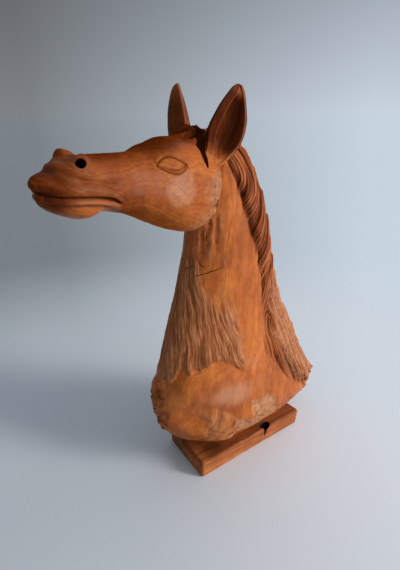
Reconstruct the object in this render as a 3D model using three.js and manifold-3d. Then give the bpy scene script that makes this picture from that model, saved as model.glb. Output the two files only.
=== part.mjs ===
// Carved wooden horse head on a plank plinth.
// Millimetres, +Z up. The horse faces -Y and its left side is +X.
// The origin is the middle of the plinth's underside.
import * as THREE from "three";
import { mergeVertices } from "three/addons/utils/BufferGeometryUtils.js";
import Module from "manifold-3d";

const wasm = await Module();
wasm.setup();

const { lerp, smoothstep, degToRad, radToDeg } = THREE.MathUtils;

// Driving dimensions

const PLINTH_LENGTH = 194;
const PLINTH_WIDTH = 90;
const PLINTH_THICKNESS = 24;
const PLINTH_CHAMFER = 2.5;
const PLINTH_END_SKEW = 13;

const NECK_TOP = 455;
const HEAD_TURN = degToRad(14);
const HEAD_PIVOT = new THREE.Vector3(0, -70, 0);
const HEAD_BACK = -10;
const HEAD_FRONT = 210;
const NOSE_ROUNDING = 2;
const LOWER_LIP_SET_BACK = 4;
const EAR_RIM = 4.4;
const EAR_BOW = 3.4;
const NOSTRIL_RADIUS = 5.2;
const NOSTRIL_DEPTH = 16;
const MOUTH_DEPTH = 5;
const LID_RADIUS = 1.6;
const LID_SINK = 0.4;

// Facet counts

const NECK_RINGS = 35;
const NECK_COLUMNS = 60;
const HEAD_RINGS = 33;
const HEAD_COLUMNS = 36;
const EAR_RINGS = 10;
const EAR_ARC = 8;
const LID_STEPS = 6;
const HOLLOW_SIDES = 8;
const EGG_RINGS = 7;
const EGG_COLUMNS = 10;

// A smooth curve of one value through [position, value] knots
function along(...knots) {
  const curve = new THREE.CubicInterpolant(
    knots.map((knot) => knot[0]),
    knots.map((knot) => knot[1]),
    1,
  );
  return (position) => curve.evaluate(position)[0];
}

const signedPower = (value, power) => Math.sign(value) * Math.abs(value) ** power;
const bump = (...offsets) => Math.exp(-offsets.reduce((sum, offset) => sum + offset * offset, 0));

// A closed skin over rings of equal point counts, with a fan over each end
function loft(rings) {
  const count = rings[0].length;
  const points = rings.flat();
  const faces = [];
  for (let r = 0; r + 1 < rings.length; r++) {
    for (let c = 0; c < count; c++) {
      const a = r * count + c;
      const b = r * count + ((c + 1) % count);
      faces.push(a, b, b + count, a, b + count, a + count);
    }
  }
  for (const [r, turned] of [[0, true], [rings.length - 1, false]]) {
    const middle = rings[r].reduce((sum, point) => sum.add(point), new THREE.Vector3()).divideScalar(count);
    const hub = points.push(middle) - 1;
    for (let c = 0; c < count; c++) {
      const a = r * count + c;
      const b = r * count + ((c + 1) % count);
      faces.push(...(turned ? [b, a, hub] : [a, b, hub]));
    }
  }
  return new THREE.BufferGeometry().setFromPoints(points).setIndex(faces);
}

// A closed geometry as a solid that can be joined and cut
function solid(geometry) {
  const bare = new THREE.BufferGeometry().setAttribute("position", geometry.getAttribute("position"));
  if (geometry.index) bare.setIndex(geometry.index);
  const merged = mergeVertices(bare, 1e-4);
  const corners = new Uint32Array(merged.index.array);
  const build = (triVerts) => new wasm.Manifold(
    new wasm.Mesh({ numProp: 3, vertProperties: merged.attributes.position.array, triVerts }),
  );
  const made = build(corners);
  return made.volume() > 0 ? made : build(corners.reverse());
}

function meshOf(body, name, material) {
  const { vertProperties, triVerts } = body.getMesh();
  const geometry = new THREE.BufferGeometry()
    .setAttribute("position", new THREE.BufferAttribute(vertProperties, 3))
    .setIndex(new THREE.BufferAttribute(triVerts, 1));
  geometry.computeVertexNormals();
  const mesh = new THREE.Mesh(geometry, material);
  mesh.name = name;
  return mesh;
}

// Neck and chest: level rings by height, from the foot on the plinth to the poll.
// An angle of 0 is the throat, 180 degrees the crest, and positive angles are on the horse's left.

const NECK_FOOT = PLINTH_THICKNESS;
const FOOT_CROWDING = 0.3;
const FRONT_CROWDING = 0.16;
const CREST_SHARPNESS = 1.25;
const neckFront = along(
  [24, -72], [34.5, -75], [42, -91], [50, -107], [63, -121.5], [100, -135], [140, -129.5], [213, -109.8],
  [277, -93.4], [340, -82], [400, -74], [440, -66], [450, -62], [455, -54],
);
const neckBack = along(
  [24, 74], [31, 78], [38, 96], [48, 133], [60, 160], [70, 165], [90, 147], [178, 97], [236, 64],
  [300, 47.5], [345, 35], [400, 12], [435, -13], [448, -28], [455, -40],
);
const neckMiddle = along([24, 0], [60, 10], [100, 0], [180, -12], [260, -20], [345, -24], [455, -47]);
const neckHalfWidth = along(
  [24, 28], [31, 30], [38, 38], [46, 47], [60, 57], [95, 65], [140, 58], [200, 50], [280, 43],
  [345, 39], [410, 33], [436, 26], [449, 15], [455, 5],
);

// The beard hangs from the throat: its half-width in degrees by height, its ragged hem by degrees,
// and a narrow tongue of hair that stands apart at its upper edge
const beardReach = along(
  [140, 84], [158, 78], [182, 79], [207, 78], [224, 74], [233, 68], [239, 59], [249, 52], [257, 46],
  [270, 38], [279, 34], [296, 28], [304, 20], [310, 12], [318, 5], [330, 2],
);
const beardHem = along(
  [0, 150], [10, 150], [14, 151], [19, 160], [22, 169], [33, 166], [40, 171], [46, 170], [53, 175],
  [56, 180], [63, 175], [70, 165], [77, 158], [88, 172],
);
const tongueMiddle = along([225, 66], [239, 63.5], [250, 61], [258, 59], [264, 58]);
const tongueHalfWidth = along([225, 7], [239, 6.5], [250, 4.5], [258, 2.5], [266, -2]);
const BEARD_RAISE = 2.6;
const BEARD_LOCKS = 4.5;
const BEARD_LOCK_DEPTH = 1.7;
const BEARD_LOCK_TURN = 60;
const BEARD_THINNING = 0.6;

function beardRelief(side, z) {
  const reach = beardReach(z);
  const fromEdge = Math.max(reach - side, tongueHalfWidth(z) - Math.abs(side - tongueMiddle(z)));
  const aboveHem = smoothstep(z - beardHem(side), -4, 4);
  const inside = smoothstep(fromEdge, -4, 6) * aboveHem * (1 - smoothstep(z, 312, 332));
  const thickness = 1 - BEARD_THINNING * smoothstep(z, 240, 300);
  const lock = Math.cos((2 * Math.PI * BEARD_LOCKS * side) / Math.max(reach, 20) + z / BEARD_LOCK_TURN);
  return inside * thickness * (BEARD_RAISE + BEARD_LOCK_DEPTH * lock);
}

// The mane runs from the crest to a valley on each side: the valley's angle in degrees by height,
// and how far the locks have moved out from the crest by height
const maneEdge = along(
  [45, 142], [86, 122], [104, 115], [122, 109], [142, 104], [163, 97], [178, 96], [194, 97], [213, 99],
  [230, 101], [259, 103], [287, 101], [314, 94], [337, 88], [356, 83], [374, 78], [384, 73], [398, 64],
  [410, 60], [440, 55],
);
const maneFall = along([40, 0], [150, 50], [250, 105], [300, 145], [340, 185], [400, 240], [455, 280]);
const MANE_VALLEY = 3.6;
const MANE_RAISE = 2.2;
const MANE_LOCK_PITCH = 40;
const MANE_LOCK_DEPTH = 2.4;
const FAR_SIDE_STRENGTH = 0.65;

function maneRelief(side, z, strength) {
  const past = side - maneEdge(z);
  const fromCrest = degToRad(180 - side) * neckHalfWidth(z);
  const valley = -MANE_VALLEY * bump((past - 6) / 6);
  const lock = Math.cos((2 * Math.PI * (fromCrest + maneFall(z))) / MANE_LOCK_PITCH);
  const hair = smoothstep(past, 6, 24) * (MANE_RAISE + MANE_LOCK_DEPTH * strength * lock);
  return smoothstep(z, 40, 75) * (1 - smoothstep(z, 436, 450)) * (valley + hair);
}

// The chest: a full shoulder over a shallow hollow on the left, and a lump of bark left on the front
const SHOULDER_RAISE = 4.2;
const HOLLOW_DEPTH = 5.5;
const BARK_RAISE = 7;

function chestRelief(degrees, z) {
  const leftFront = smoothstep(degrees, -30, 20) * (1 - smoothstep(degrees, 80, 110));
  const shoulder = SHOULDER_RAISE * leftFront * bump((z - 148) / 20);
  const hollow = -HOLLOW_DEPTH * bump((z - 108) / 15, (degrees - 40) / 24);
  const bark = BARK_RAISE * bump((degrees + 14) / 17, (z - 132) / 16);
  return shoulder + hollow + bark;
}

// A split flake low on the left of the chest, thickest at its torn rear edge
const FLAKE_RAISE = 3.2;
const flakeEdge = { y: -66, z: 101, slope: degToRad(22.3) };

function flakeRelief(point, degrees) {
  const [back, up] = [point.y - flakeEdge.y, point.z - flakeEdge.z];
  const past = back * Math.cos(flakeEdge.slope) + up * Math.sin(flakeEdge.slope);
  const band = smoothstep(degrees, 22, 40) * (1 - smoothstep(degrees, 100, 120));
  const height = smoothstep(point.z, 38, 48) * (1 - smoothstep(point.z, 98, 114));
  return FLAKE_RAISE * band * height * smoothstep(-past, 0, 5) * smoothstep(past, -40, -8);
}

function neckPoint(angle, z) {
  const middle = neckMiddle(z);
  const ahead = Math.cos(angle);
  const depth = ahead > 0 ? middle - neckFront(z) : neckBack(z) - middle;
  const across = signedPower(Math.sin(angle), ahead > 0 ? 1 : CREST_SHARPNESS);
  const point = new THREE.Vector3(neckHalfWidth(z) * across, middle - depth * ahead, z);
  const outward = new THREE.Vector3(across / neckHalfWidth(z), -ahead / depth, 0).normalize();
  const degrees = radToDeg(angle);
  const side = Math.abs(degrees);
  const strength = degrees > 0 ? 1 : FAR_SIDE_STRENGTH;
  const hair = beardRelief(side, z) + maneRelief(side, z, strength);
  return point.addScaledVector(outward, hair + chestRelief(degrees, z) + flakeRelief(point, degrees));
}

function neck() {
  const rings = [];
  for (let r = 0; r <= NECK_RINGS; r++) {
    const share = r / NECK_RINGS;
    const z = lerp(NECK_FOOT, NECK_TOP, share * (1 - FOOT_CROWDING + FOOT_CROWDING * share));
    const ring = [];
    for (let c = 0; c < NECK_COLUMNS; c++) {
      const even = 2 * Math.PI * (c / NECK_COLUMNS - 0.5);
      ring.push(neckPoint(even - FRONT_CROWDING * Math.sin(2 * even), z));
    }
    rings.push(ring);
  }
  return solid(loft(rings));
}

// A flat chip on the left of the chest: its outline as distances back and up from its middle,
// on a plane that leans inward below
const chip = { x: 61.5, z: 84, lean: degToRad(9.8), depth: 20 };
const chipOutline = [[-26, 22], [4, 23], [20, 10], [30, -14], [12, -27], [-22, -2]];

function chipCut() {
  const outline = new THREE.Shape(chipOutline.map(([back, up]) => new THREE.Vector2(back, up)));
  const block = new THREE.ExtrudeGeometry(outline, { depth: chip.depth, bevelEnabled: false });
  const up = new THREE.Vector3(Math.sin(chip.lean), 0, Math.cos(chip.lean));
  const outward = new THREE.Vector3(Math.cos(chip.lean), 0, -Math.sin(chip.lean));
  block.applyMatrix4(new THREE.Matrix4().makeBasis(new THREE.Vector3(0, 1, 0), up, outward));
  block.translate(chip.x, 0, chip.z);
  return solid(block);
}

// Head: upright rings across its own axis. A place on it is given as the distance forward of the pivot,
// the distance to the horse's left, and the height.

const headFrame = new THREE.Matrix4()
  .makeTranslation(HEAD_PIVOT)
  .multiply(new THREE.Matrix4().makeRotationZ(HEAD_TURN));
const headPlace = (forward, left, z) => new THREE.Vector3(left, -forward, z).applyMatrix4(headFrame);
const headWay = (forward, left, up) => new THREE.Vector3(left, -forward, up).transformDirection(headFrame);

const headTop = along(
  [-10, 414], [-4, 438], [4, 453], [20, 454.5], [30, 450], [40, 447.5], [60, 448], [72, 444.5], [89, 438.5],
  [99, 436.5], [128, 435.8], [150, 436.3], [170, 435.4], [184, 432.3], [192, 428.6], [196.5, 424.6],
  [200, 423.8], [205, 421.5], [210, 417.5],
);
const headBottom = along(
  [-10, 398], [-4, 374], [6, 357], [18, 347], [32, 344], [52, 348.5], [75, 359], [98, 369.5], [118, 378],
  [137, 383], [152, 386.3], [160, 386.6], [167, 384.2], [175, 383.2], [189, 387.8], [197, 391.2],
  [203, 394.8], [208, 397.5], [210, 399.5],
);
const headHalfWidth = along(
  [-10, 8], [-5, 24], [4, 36], [20, 43], [45, 46], [77, 44.5], [100, 38], [130, 30], [155, 28], [172, 28.5],
  [190, 25], [200, 18.5], [205, 13.5], [208, 9], [210, 4.5],
);
const headSquareness = along([-10, 2], [40, 2.3], [130, 2.4], [170, 2.7], [210, 2.2]);
const HEAD_TAPER = 0.16;
const HEAD_END_CROWDING = 0.05;
const mouthLine = along(
  [138, 392.5], [143, 395], [150, 398.2], [161, 401.6], [175, 404.3], [191, 405.8], [201, 406.4],
  [206.5, 407.8], [212, 410.2],
);
const eye = { forward: 81, z: 422.7, halfLength: 15.8, tilt: 0.065, rise: 6.6 };
const nostril = { forward: 174.5, left: 16, z: 432, nearFlare: 6.5, farFlare: 4 };
const UPPER_LIP_LEAN = 0.4;

// The upper lip juts out over the lower one
function noseLean(forward, z) {
  const upper = UPPER_LIP_LEAN * smoothstep(forward, 190, HEAD_FRONT) * Math.max(z - 410, 0);
  const lower = smoothstep(forward, 188, HEAD_FRONT) * smoothstep(mouthLine(forward) - z, -1, 4);
  return upper - LOWER_LIP_SET_BACK * lower;
}

// The half-width of the plain head at a height
function headSide(forward, z) {
  const [top, bottom] = [headTop(forward), headBottom(forward)];
  const rise = (2 * z - top - bottom) / (top - bottom);
  const squareness = headSquareness(forward);
  const round = Math.max(1 - Math.abs(rise) ** squareness, 0) ** (1 / squareness);
  return headHalfWidth(forward) * round * (1 - HEAD_TAPER * rise);
}

function headRelief(forward, left, z) {
  const side = Math.abs(left);
  const fromMouth = z - mouthLine(forward);
  const lips = smoothstep(forward, 136, 152);
  const brow = 2.6 * bump((forward - 80) / 17, (z - 434) / 5.5);
  const eyeball = 1.8 * bump((forward - eye.forward) / 13, (z - eye.z) / 5.5);
  const flare = (left > 0 ? nostril.nearFlare : nostril.farFlare)
    * bump((forward - nostril.forward) / 9, (side - nostril.left) / 8.5, (z - nostril.z) / 11);
  const upperLip = 1.7 * lips * bump((fromMouth - 6) / 4.5);
  const lowerLip = 1.9 * lips * bump((fromMouth + 5) / 3.6);
  const chinCrease = -1.8 * lips * bump((fromMouth + 11) / 3.2) * smoothstep(side, 4, 14);
  const cheekHollow = -2.2 * bump((forward - 118) / 16, (z - 408) / 12) * smoothstep(side, 8, 20);
  return brow + eyeball + flare + upperLip + lowerLip + chinCrease + cheekHollow;
}

function headSkin(inset) {
  const rings = [];
  for (let r = 0; r <= HEAD_RINGS; r++) {
    const share = r / HEAD_RINGS;
    const forward = lerp(HEAD_BACK, HEAD_FRONT, share - HEAD_END_CROWDING * Math.sin(2 * Math.PI * share));
    const [top, bottom] = [headTop(forward), headBottom(forward)];
    const power = 2 / headSquareness(forward);
    const ring = [];
    for (let c = 0; c < HEAD_COLUMNS; c++) {
      const angle = (2 * Math.PI * c) / HEAD_COLUMNS;
      const rise = signedPower(Math.sin(angle), power);
      const left = headHalfWidth(forward) * signedPower(Math.cos(angle), power) * (1 - HEAD_TAPER * rise);
      const z = (top + bottom) / 2 + ((top - bottom) / 2) * rise;
      const outward = new THREE.Vector2(Math.cos(angle), Math.sin(angle));
      const lift = headRelief(forward, left, z) - inset;
      ring.push(headPlace(forward + noseLean(forward, z), left + lift * outward.x, z + lift * outward.y));
    }
    rings.push(ring);
  }
  const last = rings[HEAD_RINGS];
  const middle = last.reduce((sum, point) => sum.add(point), new THREE.Vector3()).divideScalar(last.length);
  const ahead = headWay(1, 0, 0).multiplyScalar(NOSE_ROUNDING * Math.SQRT1_2);
  rings.push(last.map((point) => point.clone().lerp(middle, 1 - Math.SQRT1_2).add(ahead)));
  return solid(loft(rings));
}

// The flare of the nostril on the far side: an egg with a long rear end
const egg = {
  forward: 172, left: -15, z: 433.2, ahead: 7.5, behind: 17, width: 8.5, rise: 8.4, droop: 2.5,
};

function farNostril() {
  const rings = [];
  for (let r = 1; r < EGG_RINGS; r++) {
    const turn = (Math.PI * r) / EGG_RINGS;
    const run = Math.cos(turn);
    const ring = [];
    for (let c = 0; c < EGG_COLUMNS; c++) {
      const angle = (2 * Math.PI * c) / EGG_COLUMNS;
      ring.push(headPlace(
        egg.forward + run * (run > 0 ? egg.ahead : egg.behind),
        egg.left + egg.width * Math.sin(turn) * Math.cos(angle),
        egg.z + egg.rise * Math.sin(turn) * Math.sin(angle) - egg.droop * Math.abs(run),
      ));
    }
    rings.push(ring);
  }
  return solid(loft(rings));
}

// The gap between the lips: a thin wedge round the muzzle that stops short of its core
function mouthGap() {
  const above = along(
    [141, 0.2], [147, 1], [170, 0.6], [192, 0.6], [200, 0.8], [205, 1.2], [210, 2.6], [224, 6],
  );
  const below = along([141, 0.2], [147, 1], [170, 0.6], [192, 0.6], [224, 0.8]);
  const [start, end, step, reach] = [141, 225, 7, 60];
  const rings = [];
  for (let forward = start; forward <= end; forward += step) {
    const [low, high] = [mouthLine(forward) - below(forward), mouthLine(forward) + above(forward)];
    rings.push([[-reach, low], [reach, low], [reach, high], [-reach, high]].map(
      ([left, z]) => headPlace(forward, left, z),
    ));
  }
  return solid(loft(rings)).subtract(headSkin(MOUTH_DEPTH));
}

// A drilled nostril, leaning outward, forward and up from the middle of its flare
function nostrilHole(side) {
  const axis = headWay(0.4, side * 0.8, 0.45);
  const mouth = headPlace(nostril.forward + 4, side * (nostril.left + 6), nostril.z);
  const drill = new THREE.CylinderGeometry(NOSTRIL_RADIUS, NOSTRIL_RADIUS * 0.8, 2 * NOSTRIL_DEPTH, 12);
  drill.applyQuaternion(new THREE.Quaternion().setFromUnitVectors(new THREE.Vector3(0, 1, 0), axis));
  drill.translate(mouth.x, mouth.y, mouth.z);
  return solid(drill);
}

// One eyelid: a thin roll over the eye, arched up or down between the two corners of the eye
function eyelid(side, arch) {
  const points = [];
  for (let step = 0; step <= LID_STEPS; step++) {
    const share = (2 * step) / LID_STEPS - 1;
    const forward = eye.forward + share * eye.halfLength;
    const z = eye.z + share * eye.halfLength * eye.tilt + arch * (1 - share * share);
    const plain = headSide(forward, z);
    const left = plain + headRelief(forward, plain, z) - LID_SINK;
    points.push(headPlace(forward, side * left, z));
  }
  const round = new THREE.Shape().absarc(0, 0, LID_RADIUS, 0, 2 * Math.PI);
  return solid(new THREE.ExtrudeGeometry(round, {
    steps: LID_STEPS,
    curveSegments: 3,
    extrudePath: new THREE.CatmullRomCurve3(points),
  }));
}

// Ears: leaf-shaped shells with a scooped front, by share of the length from root to tip

const earHalfWidth = along(
  [0, 5], [0.12, 9], [0.25, 15], [0.45, 21], [0.7, 18.2], [0.9, 10.2], [0.97, 6], [1, 3],
);
const earDepth = along([0, 11], [0.3, 21], [0.6, 19], [0.9, 9.5], [0.97, 6], [1, 3]);
const earScoop = along(
  [0, 0.3], [0.16, 0.4], [0.22, 3], [0.34, 13], [0.6, 12], [0.82, 5.5], [0.93, 0.6], [1, 0.3],
);
const EAR_LIP = 1.4;
const THIN_RIM = 0.75;
const THICK_RIM = 1.1;
const LEAST_HOLLOW = 0.25;

function ear({ root, tip, facing, bow }) {
  const up = tip.clone().sub(root).normalize();
  const front = facing.clone().addScaledVector(up, -facing.dot(up)).normalize();
  const across = new THREE.Vector3().crossVectors(up, front);
  const length = tip.distanceTo(root);
  const rings = [];
  for (let r = 0; r <= EAR_RINGS; r++) {
    const share = r / EAR_RINGS;
    const half = earHalfWidth(share);
    const middle = root.clone()
      .addScaledVector(up, share * length)
      .addScaledVector(across, bow * Math.sin(Math.PI * share));
    const ring = [];
    const put = (x, y) => ring.push(middle.clone().addScaledVector(across, x).addScaledVector(front, y));
    for (let a = 0; a <= EAR_ARC; a++) {
      const angle = (Math.PI * a) / EAR_ARC;
      put(half * Math.cos(angle), -earDepth(share) * Math.sin(angle));
    }
    for (let a = EAR_ARC; a >= 0; a--) {
      const angle = (Math.PI * a) / EAR_ARC;
      const rim = EAR_RIM * (Math.cos(angle) > 0 ? THIN_RIM : THICK_RIM);
      const inner = Math.max(half - rim, half * LEAST_HOLLOW);
      put(inner * Math.cos(angle), EAR_LIP * Math.cos(angle) ** 6 - earScoop(share) * Math.sin(angle));
    }
    rings.push(ring);
  }
  return solid(loft(rings));
}

const leftEar = {
  root: headPlace(24, 33, 409),
  tip: headPlace(-9, 50, 497),
  facing: new THREE.Vector3(0.97, -0.12, 0.1),
  bow: EAR_BOW,
};
const rightEar = {
  root: headPlace(-4.3, -16, 415),
  tip: headPlace(-19.8, -44.3, 501.5),
  facing: new THREE.Vector3(0.7, 0.71, 0.05),
  bow: 0,
};

// A hollow gouged between the poll and the left ear: its line on the head, and its radius at each place
const hollowLine = [
  [8, 10, 460], [15, 16, 452], [22.5, 22.5, 444.5], [29, 28.5, 437], [31.5, 33.5, 429.5], [32, 37.5, 422],
  [33, 40, 416],
];
const hollowRadius = [6, 8, 7.5, 6, 4.2, 2.6, 1];

function earHollow() {
  const line = hollowLine.map((place) => headPlace(...place));
  const rings = line.map((point, k) => {
    const ahead = line[Math.min(k + 1, line.length - 1)].clone().sub(line[Math.max(k - 1, 0)]).normalize();
    const first = new THREE.Vector3(0, 0, 1).cross(ahead).normalize();
    const second = new THREE.Vector3().crossVectors(ahead, first);
    const ring = [];
    for (let c = 0; c < HOLLOW_SIDES; c++) {
      const angle = (2 * Math.PI * c) / HOLLOW_SIDES;
      ring.push(point.clone().addScaledVector(first, hollowRadius[k] * Math.cos(angle))
        .addScaledVector(second, hollowRadius[k] * Math.sin(angle)));
    }
    return ring;
  });
  return solid(loft(rings));
}

function horseHead() {
  const body = neck().subtract(chipCut()).add(headSkin(0)).subtract(earHollow());
  let carving = body.add(farNostril()).add(ear(leftEar)).add(ear(rightEar)).subtract(mouthGap());
  for (const side of [1, -1]) {
    carving = carving.add(eyelid(side, eye.rise)).add(eyelid(side, -eye.rise)).subtract(nostrilHole(side));
  }
  return carving;
}

// Plinth: a plank with chamfered edges, sawn askew at the front and broken by a knot hole at its left edge

const knotHole = { x: 38.5, y: 30, radius: 7.5, depth: 15, stretch: 1.25 };
const edgeSplit = { topRadius: 3.2, endRadius: 0.4, length: 17, y: 26, z: 16 };

function plinth() {
  const halfWidth = PLINTH_WIDTH / 2 - PLINTH_CHAMFER;
  const halfLength = PLINTH_LENGTH / 2 - PLINTH_CHAMFER;
  const outline = new THREE.Shape([
    new THREE.Vector2(-halfWidth, -halfLength + PLINTH_END_SKEW),
    new THREE.Vector2(halfWidth, -halfLength),
    new THREE.Vector2(halfWidth, halfLength),
    new THREE.Vector2(-halfWidth, halfLength),
  ]);
  const board = new THREE.ExtrudeGeometry(outline, {
    depth: PLINTH_THICKNESS - 2 * PLINTH_CHAMFER,
    bevelThickness: PLINTH_CHAMFER,
    bevelSize: PLINTH_CHAMFER,
    bevelSegments: 1,
  });
  board.translate(0, 0, PLINTH_CHAMFER);

  const knot = new THREE.CylinderGeometry(knotHole.radius * 0.45, knotHole.radius, 2 * knotHole.depth, 9);
  knot.rotateX(-Math.PI / 2);
  knot.scale(1, knotHole.stretch, 1);
  knot.translate(knotHole.x, knotHole.y, PLINTH_THICKNESS);

  const split = new THREE.CylinderGeometry(edgeSplit.endRadius, edgeSplit.topRadius, edgeSplit.length, 5);
  split.rotateX(-Math.PI / 2);
  split.translate(PLINTH_WIDTH / 2, edgeSplit.y, edgeSplit.z);
  return solid(board).subtract(solid(knot)).subtract(solid(split));
}

const carvedWood = new THREE.MeshStandardMaterial({ color: 0xb0622c, roughness: 0.55, metalness: 0 });
const plankWood = new THREE.MeshStandardMaterial({ color: 0x9a5630, roughness: 0.6, metalness: 0 });

const horse = new THREE.Group();
horse.add(meshOf(horseHead(), "horse_head", carvedWood));
horse.add(meshOf(plinth(), "plinth", plankWood));
export default horse;
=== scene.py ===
from functools import partialmethod

import bmesh
import bpy
import numpy as np
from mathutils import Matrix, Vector


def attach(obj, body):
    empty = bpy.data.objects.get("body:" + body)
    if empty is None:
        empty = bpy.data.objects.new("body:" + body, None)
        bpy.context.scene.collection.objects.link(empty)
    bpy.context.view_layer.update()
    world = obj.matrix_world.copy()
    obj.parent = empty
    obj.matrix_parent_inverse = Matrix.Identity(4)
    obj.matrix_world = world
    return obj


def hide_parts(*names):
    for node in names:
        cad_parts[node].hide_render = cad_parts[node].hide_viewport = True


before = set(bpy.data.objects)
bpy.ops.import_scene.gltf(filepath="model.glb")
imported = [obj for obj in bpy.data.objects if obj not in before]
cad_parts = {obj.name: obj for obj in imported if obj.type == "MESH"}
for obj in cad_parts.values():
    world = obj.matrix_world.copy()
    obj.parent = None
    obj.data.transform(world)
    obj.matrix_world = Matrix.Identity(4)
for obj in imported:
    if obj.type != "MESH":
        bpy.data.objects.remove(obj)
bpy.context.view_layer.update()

# A carved wooden horse head on a plank plinth: the carving's fine relief, its wood, and a plain pale studio.
# Shapes are in millimetres until a mesh is made. Materials and the studio are in metres.

MM = 0.001
WELD = 0.01 * MM
# Layers on the carving's points. Besides the wood's own staining, pale raw wood, bark and splinters, they
# paint light and shade: painted shade in grooves, creases, hollows, holes and on parts that face away from
# the light, and painted highlights on lip rolls, ear rims, strand crests and varnished patches of the cheek
# and chest.
LAYERS = ("made", "groove", "beard", "mane", "raw", "bark", "stain_and_shade", "strand", "varnish_and_painted_highlight", "head", "torn")


# Curves, masks and noise, on arrays

def along(*knots):
    """A smooth curve of one value through (position, value) knots, level beyond both ends."""
    at, value = np.array(knots, float).T
    secant = np.diff(value) / np.diff(at)
    slope = np.concatenate([secant[:1], (secant[1:] + secant[:-1]) / 2, secant[-1:]])

    def curve(position):
        position = np.clip(position, at[0], at[-1])
        k = np.clip(np.searchsorted(at, position, side="right") - 1, 0, len(at) - 2)
        gap = at[k + 1] - at[k]
        t = (position - at[k]) / gap
        start = (1 - t) ** 2 * ((1 + 2 * t) * value[k] + t * gap * slope[k])
        end = t**2 * ((3 - 2 * t) * value[k + 1] + (t - 1) * gap * slope[k + 1])
        return start + end

    return curve


def smooth(value, low, high):
    """A soft step from 0 at low to 1 at high, level beyond both. It falls where low is above high."""
    t = np.clip((value - low) / (high - low), 0, 1)
    return t * t * (3 - 2 * t)


def within(value, low, full, still, high):
    """A soft step up from low to full, and down again from still to high."""
    return smooth(value, low, full) * smooth(value, high, still)


def bump(*offsets):
    """A soft bump of height 1 where every offset is 0."""
    return np.exp(-sum(np.square(offset) for offset in offsets))


def spot(across, up, place):
    """A soft bump at a place: its middle and reach one way, then its middle and reach the other way."""
    middle, reach, height, rise = place
    return bump((across - middle) / reach, (up - height) / rise)


def signed_power(value, power):
    return np.sign(value) * np.abs(value) ** power


def scatter(keys, seed):
    """A fixed random value from 0 to 1 for each whole number."""
    mixed = np.asarray(keys).astype(np.int64).astype(np.uint64)
    mixed = (mixed + np.uint64(seed * 7919 + 17)) * np.uint64(0x9E3779B97F4A7C15)
    mixed = (mixed ^ (mixed >> np.uint64(31))) * np.uint64(0xBF58476D1CE4E5B9)
    return ((mixed ^ (mixed >> np.uint64(29))) >> np.uint64(11)).astype(float) / 2.0**53


def noise(*places, seed=0):
    """Smooth noise from -1 to 1, with features about one unit across."""
    places = np.broadcast_arrays(*places)
    cells = [np.floor(place).astype(np.int64) for place in places]
    ease = [smooth(place - cell, 0, 1) for place, cell in zip(places, cells)]
    total = 0
    for corner in np.ndindex(*(2,) * len(places)):
        weight, key = 1, 0
        for step, cell, t, prime in zip(corner, cells, ease, (1, 7368787, 912931)):
            weight = weight * (t if step else 1 - t)
            key = key + (cell + step) * prime
        total = total + weight * (2 * scatter(key, seed) - 1)
    return total


def rough(*places, seed=0, octaves=3):
    """Noise with finer and fainter noise added on it."""
    finer, fainter = 2.1, 0.55
    return sum(noise(*[p * finer**k for p in places], seed=seed + k) * fainter**k for k in range(octaves))


def gone_along(*coordinates):
    """The length along a line of points, from its first, by the points' coordinates."""
    steps = np.sqrt(sum(np.diff(values) ** 2 for values in coordinates))
    return np.concatenate([[0], np.cumsum(steps)])


def spread(fine, weight, count):
    """Positions along a fine line, closer together where the weight is larger, without its last point."""
    steps = np.diff(fine) * (weight[1:] + weight[:-1]) / 2
    gone = np.concatenate([[0], np.cumsum(steps)])
    return np.interp(np.linspace(0, gone[-1], count, endpoint=False), gone, fine)


def resample(line, count):
    """Evenly numbered points on straight runs between a line's points."""
    line = np.array(line, float)
    places = np.linspace(0, len(line) - 1, count)
    return np.stack([np.interp(places, np.arange(len(line)), column) for column in line.T], axis=1)


def unit(vectors):
    return vectors / np.linalg.norm(vectors, axis=-1, keepdims=True)


# Meshes

def place_object(name, data):
    made = bpy.data.objects.new(name, data)
    bpy.context.collection.objects.link(made)
    return made


def read(items, name, width, kind=float):
    """One property of all the items of a mesh, as an array with a row for each."""
    values = np.empty(len(items) * width, kind)
    items.foreach_get(name, values)
    return values.reshape(len(items), width)


def closed_object(name, rings, layers):
    """A closed mesh over rings of equal point counts (rings, points, xyz), a fan over each end."""
    row_count, count, _ = rings.shape
    points = np.concatenate([rings.reshape(-1, 3), rings[[0, -1]].mean(axis=1)]) * MM
    here = np.arange((row_count - 1) * count).reshape(row_count - 1, count)
    beside = np.roll(here, -1, axis=1)
    quads = np.stack([here, beside, beside + count, here + count], axis=-1).reshape(-1, 4)
    first = np.arange(count)
    last = first + (row_count - 1) * count
    hub = np.full(count, row_count * count)
    start = np.stack([np.roll(first, -1), first, hub], axis=-1)
    end = np.stack([last, np.roll(last, -1), hub + 1], axis=-1)
    mesh = bpy.data.meshes.new(name)
    mesh.from_pydata(points.tolist(), [], quads.tolist() + start.tolist() + end.tolist())
    for layer in LAYERS:
        values = np.zeros(len(points))
        if layer == "made":
            values[:] = 1
        elif layer in layers:
            values[:-2] = layers[layer].reshape(-1)
        mesh.attributes.new(layer, "FLOAT", "POINT").data.foreach_set("value", values)
    face_outward(mesh)
    return place_object(name, mesh)


def face_outward(mesh):
    """Turns a closed mesh's faces to point out."""
    mesh.calc_loop_triangles()
    triangles = read(mesh.loop_triangles, "vertices", 3, int)
    first, second, third = np.moveaxis(read(mesh.vertices, "co", 3)[triangles], 1, 0)
    if np.einsum("ij,ij->i", first, np.cross(second, third)).sum() < 0:
        mesh.flip_normals()


def combine(base, other, operation):
    """Joins another closed object to the base, or cuts it away, and removes it."""
    modifier = base.modifiers.new(operation, "BOOLEAN")
    modifier.solver = "MANIFOLD"
    modifier.operation = operation
    modifier.object = other
    result = bpy.data.meshes.new_from_object(base.evaluated_get(bpy.context.evaluated_depsgraph_get()))
    base.modifiers.clear()
    base.data = result
    bpy.data.objects.remove(other)


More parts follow.
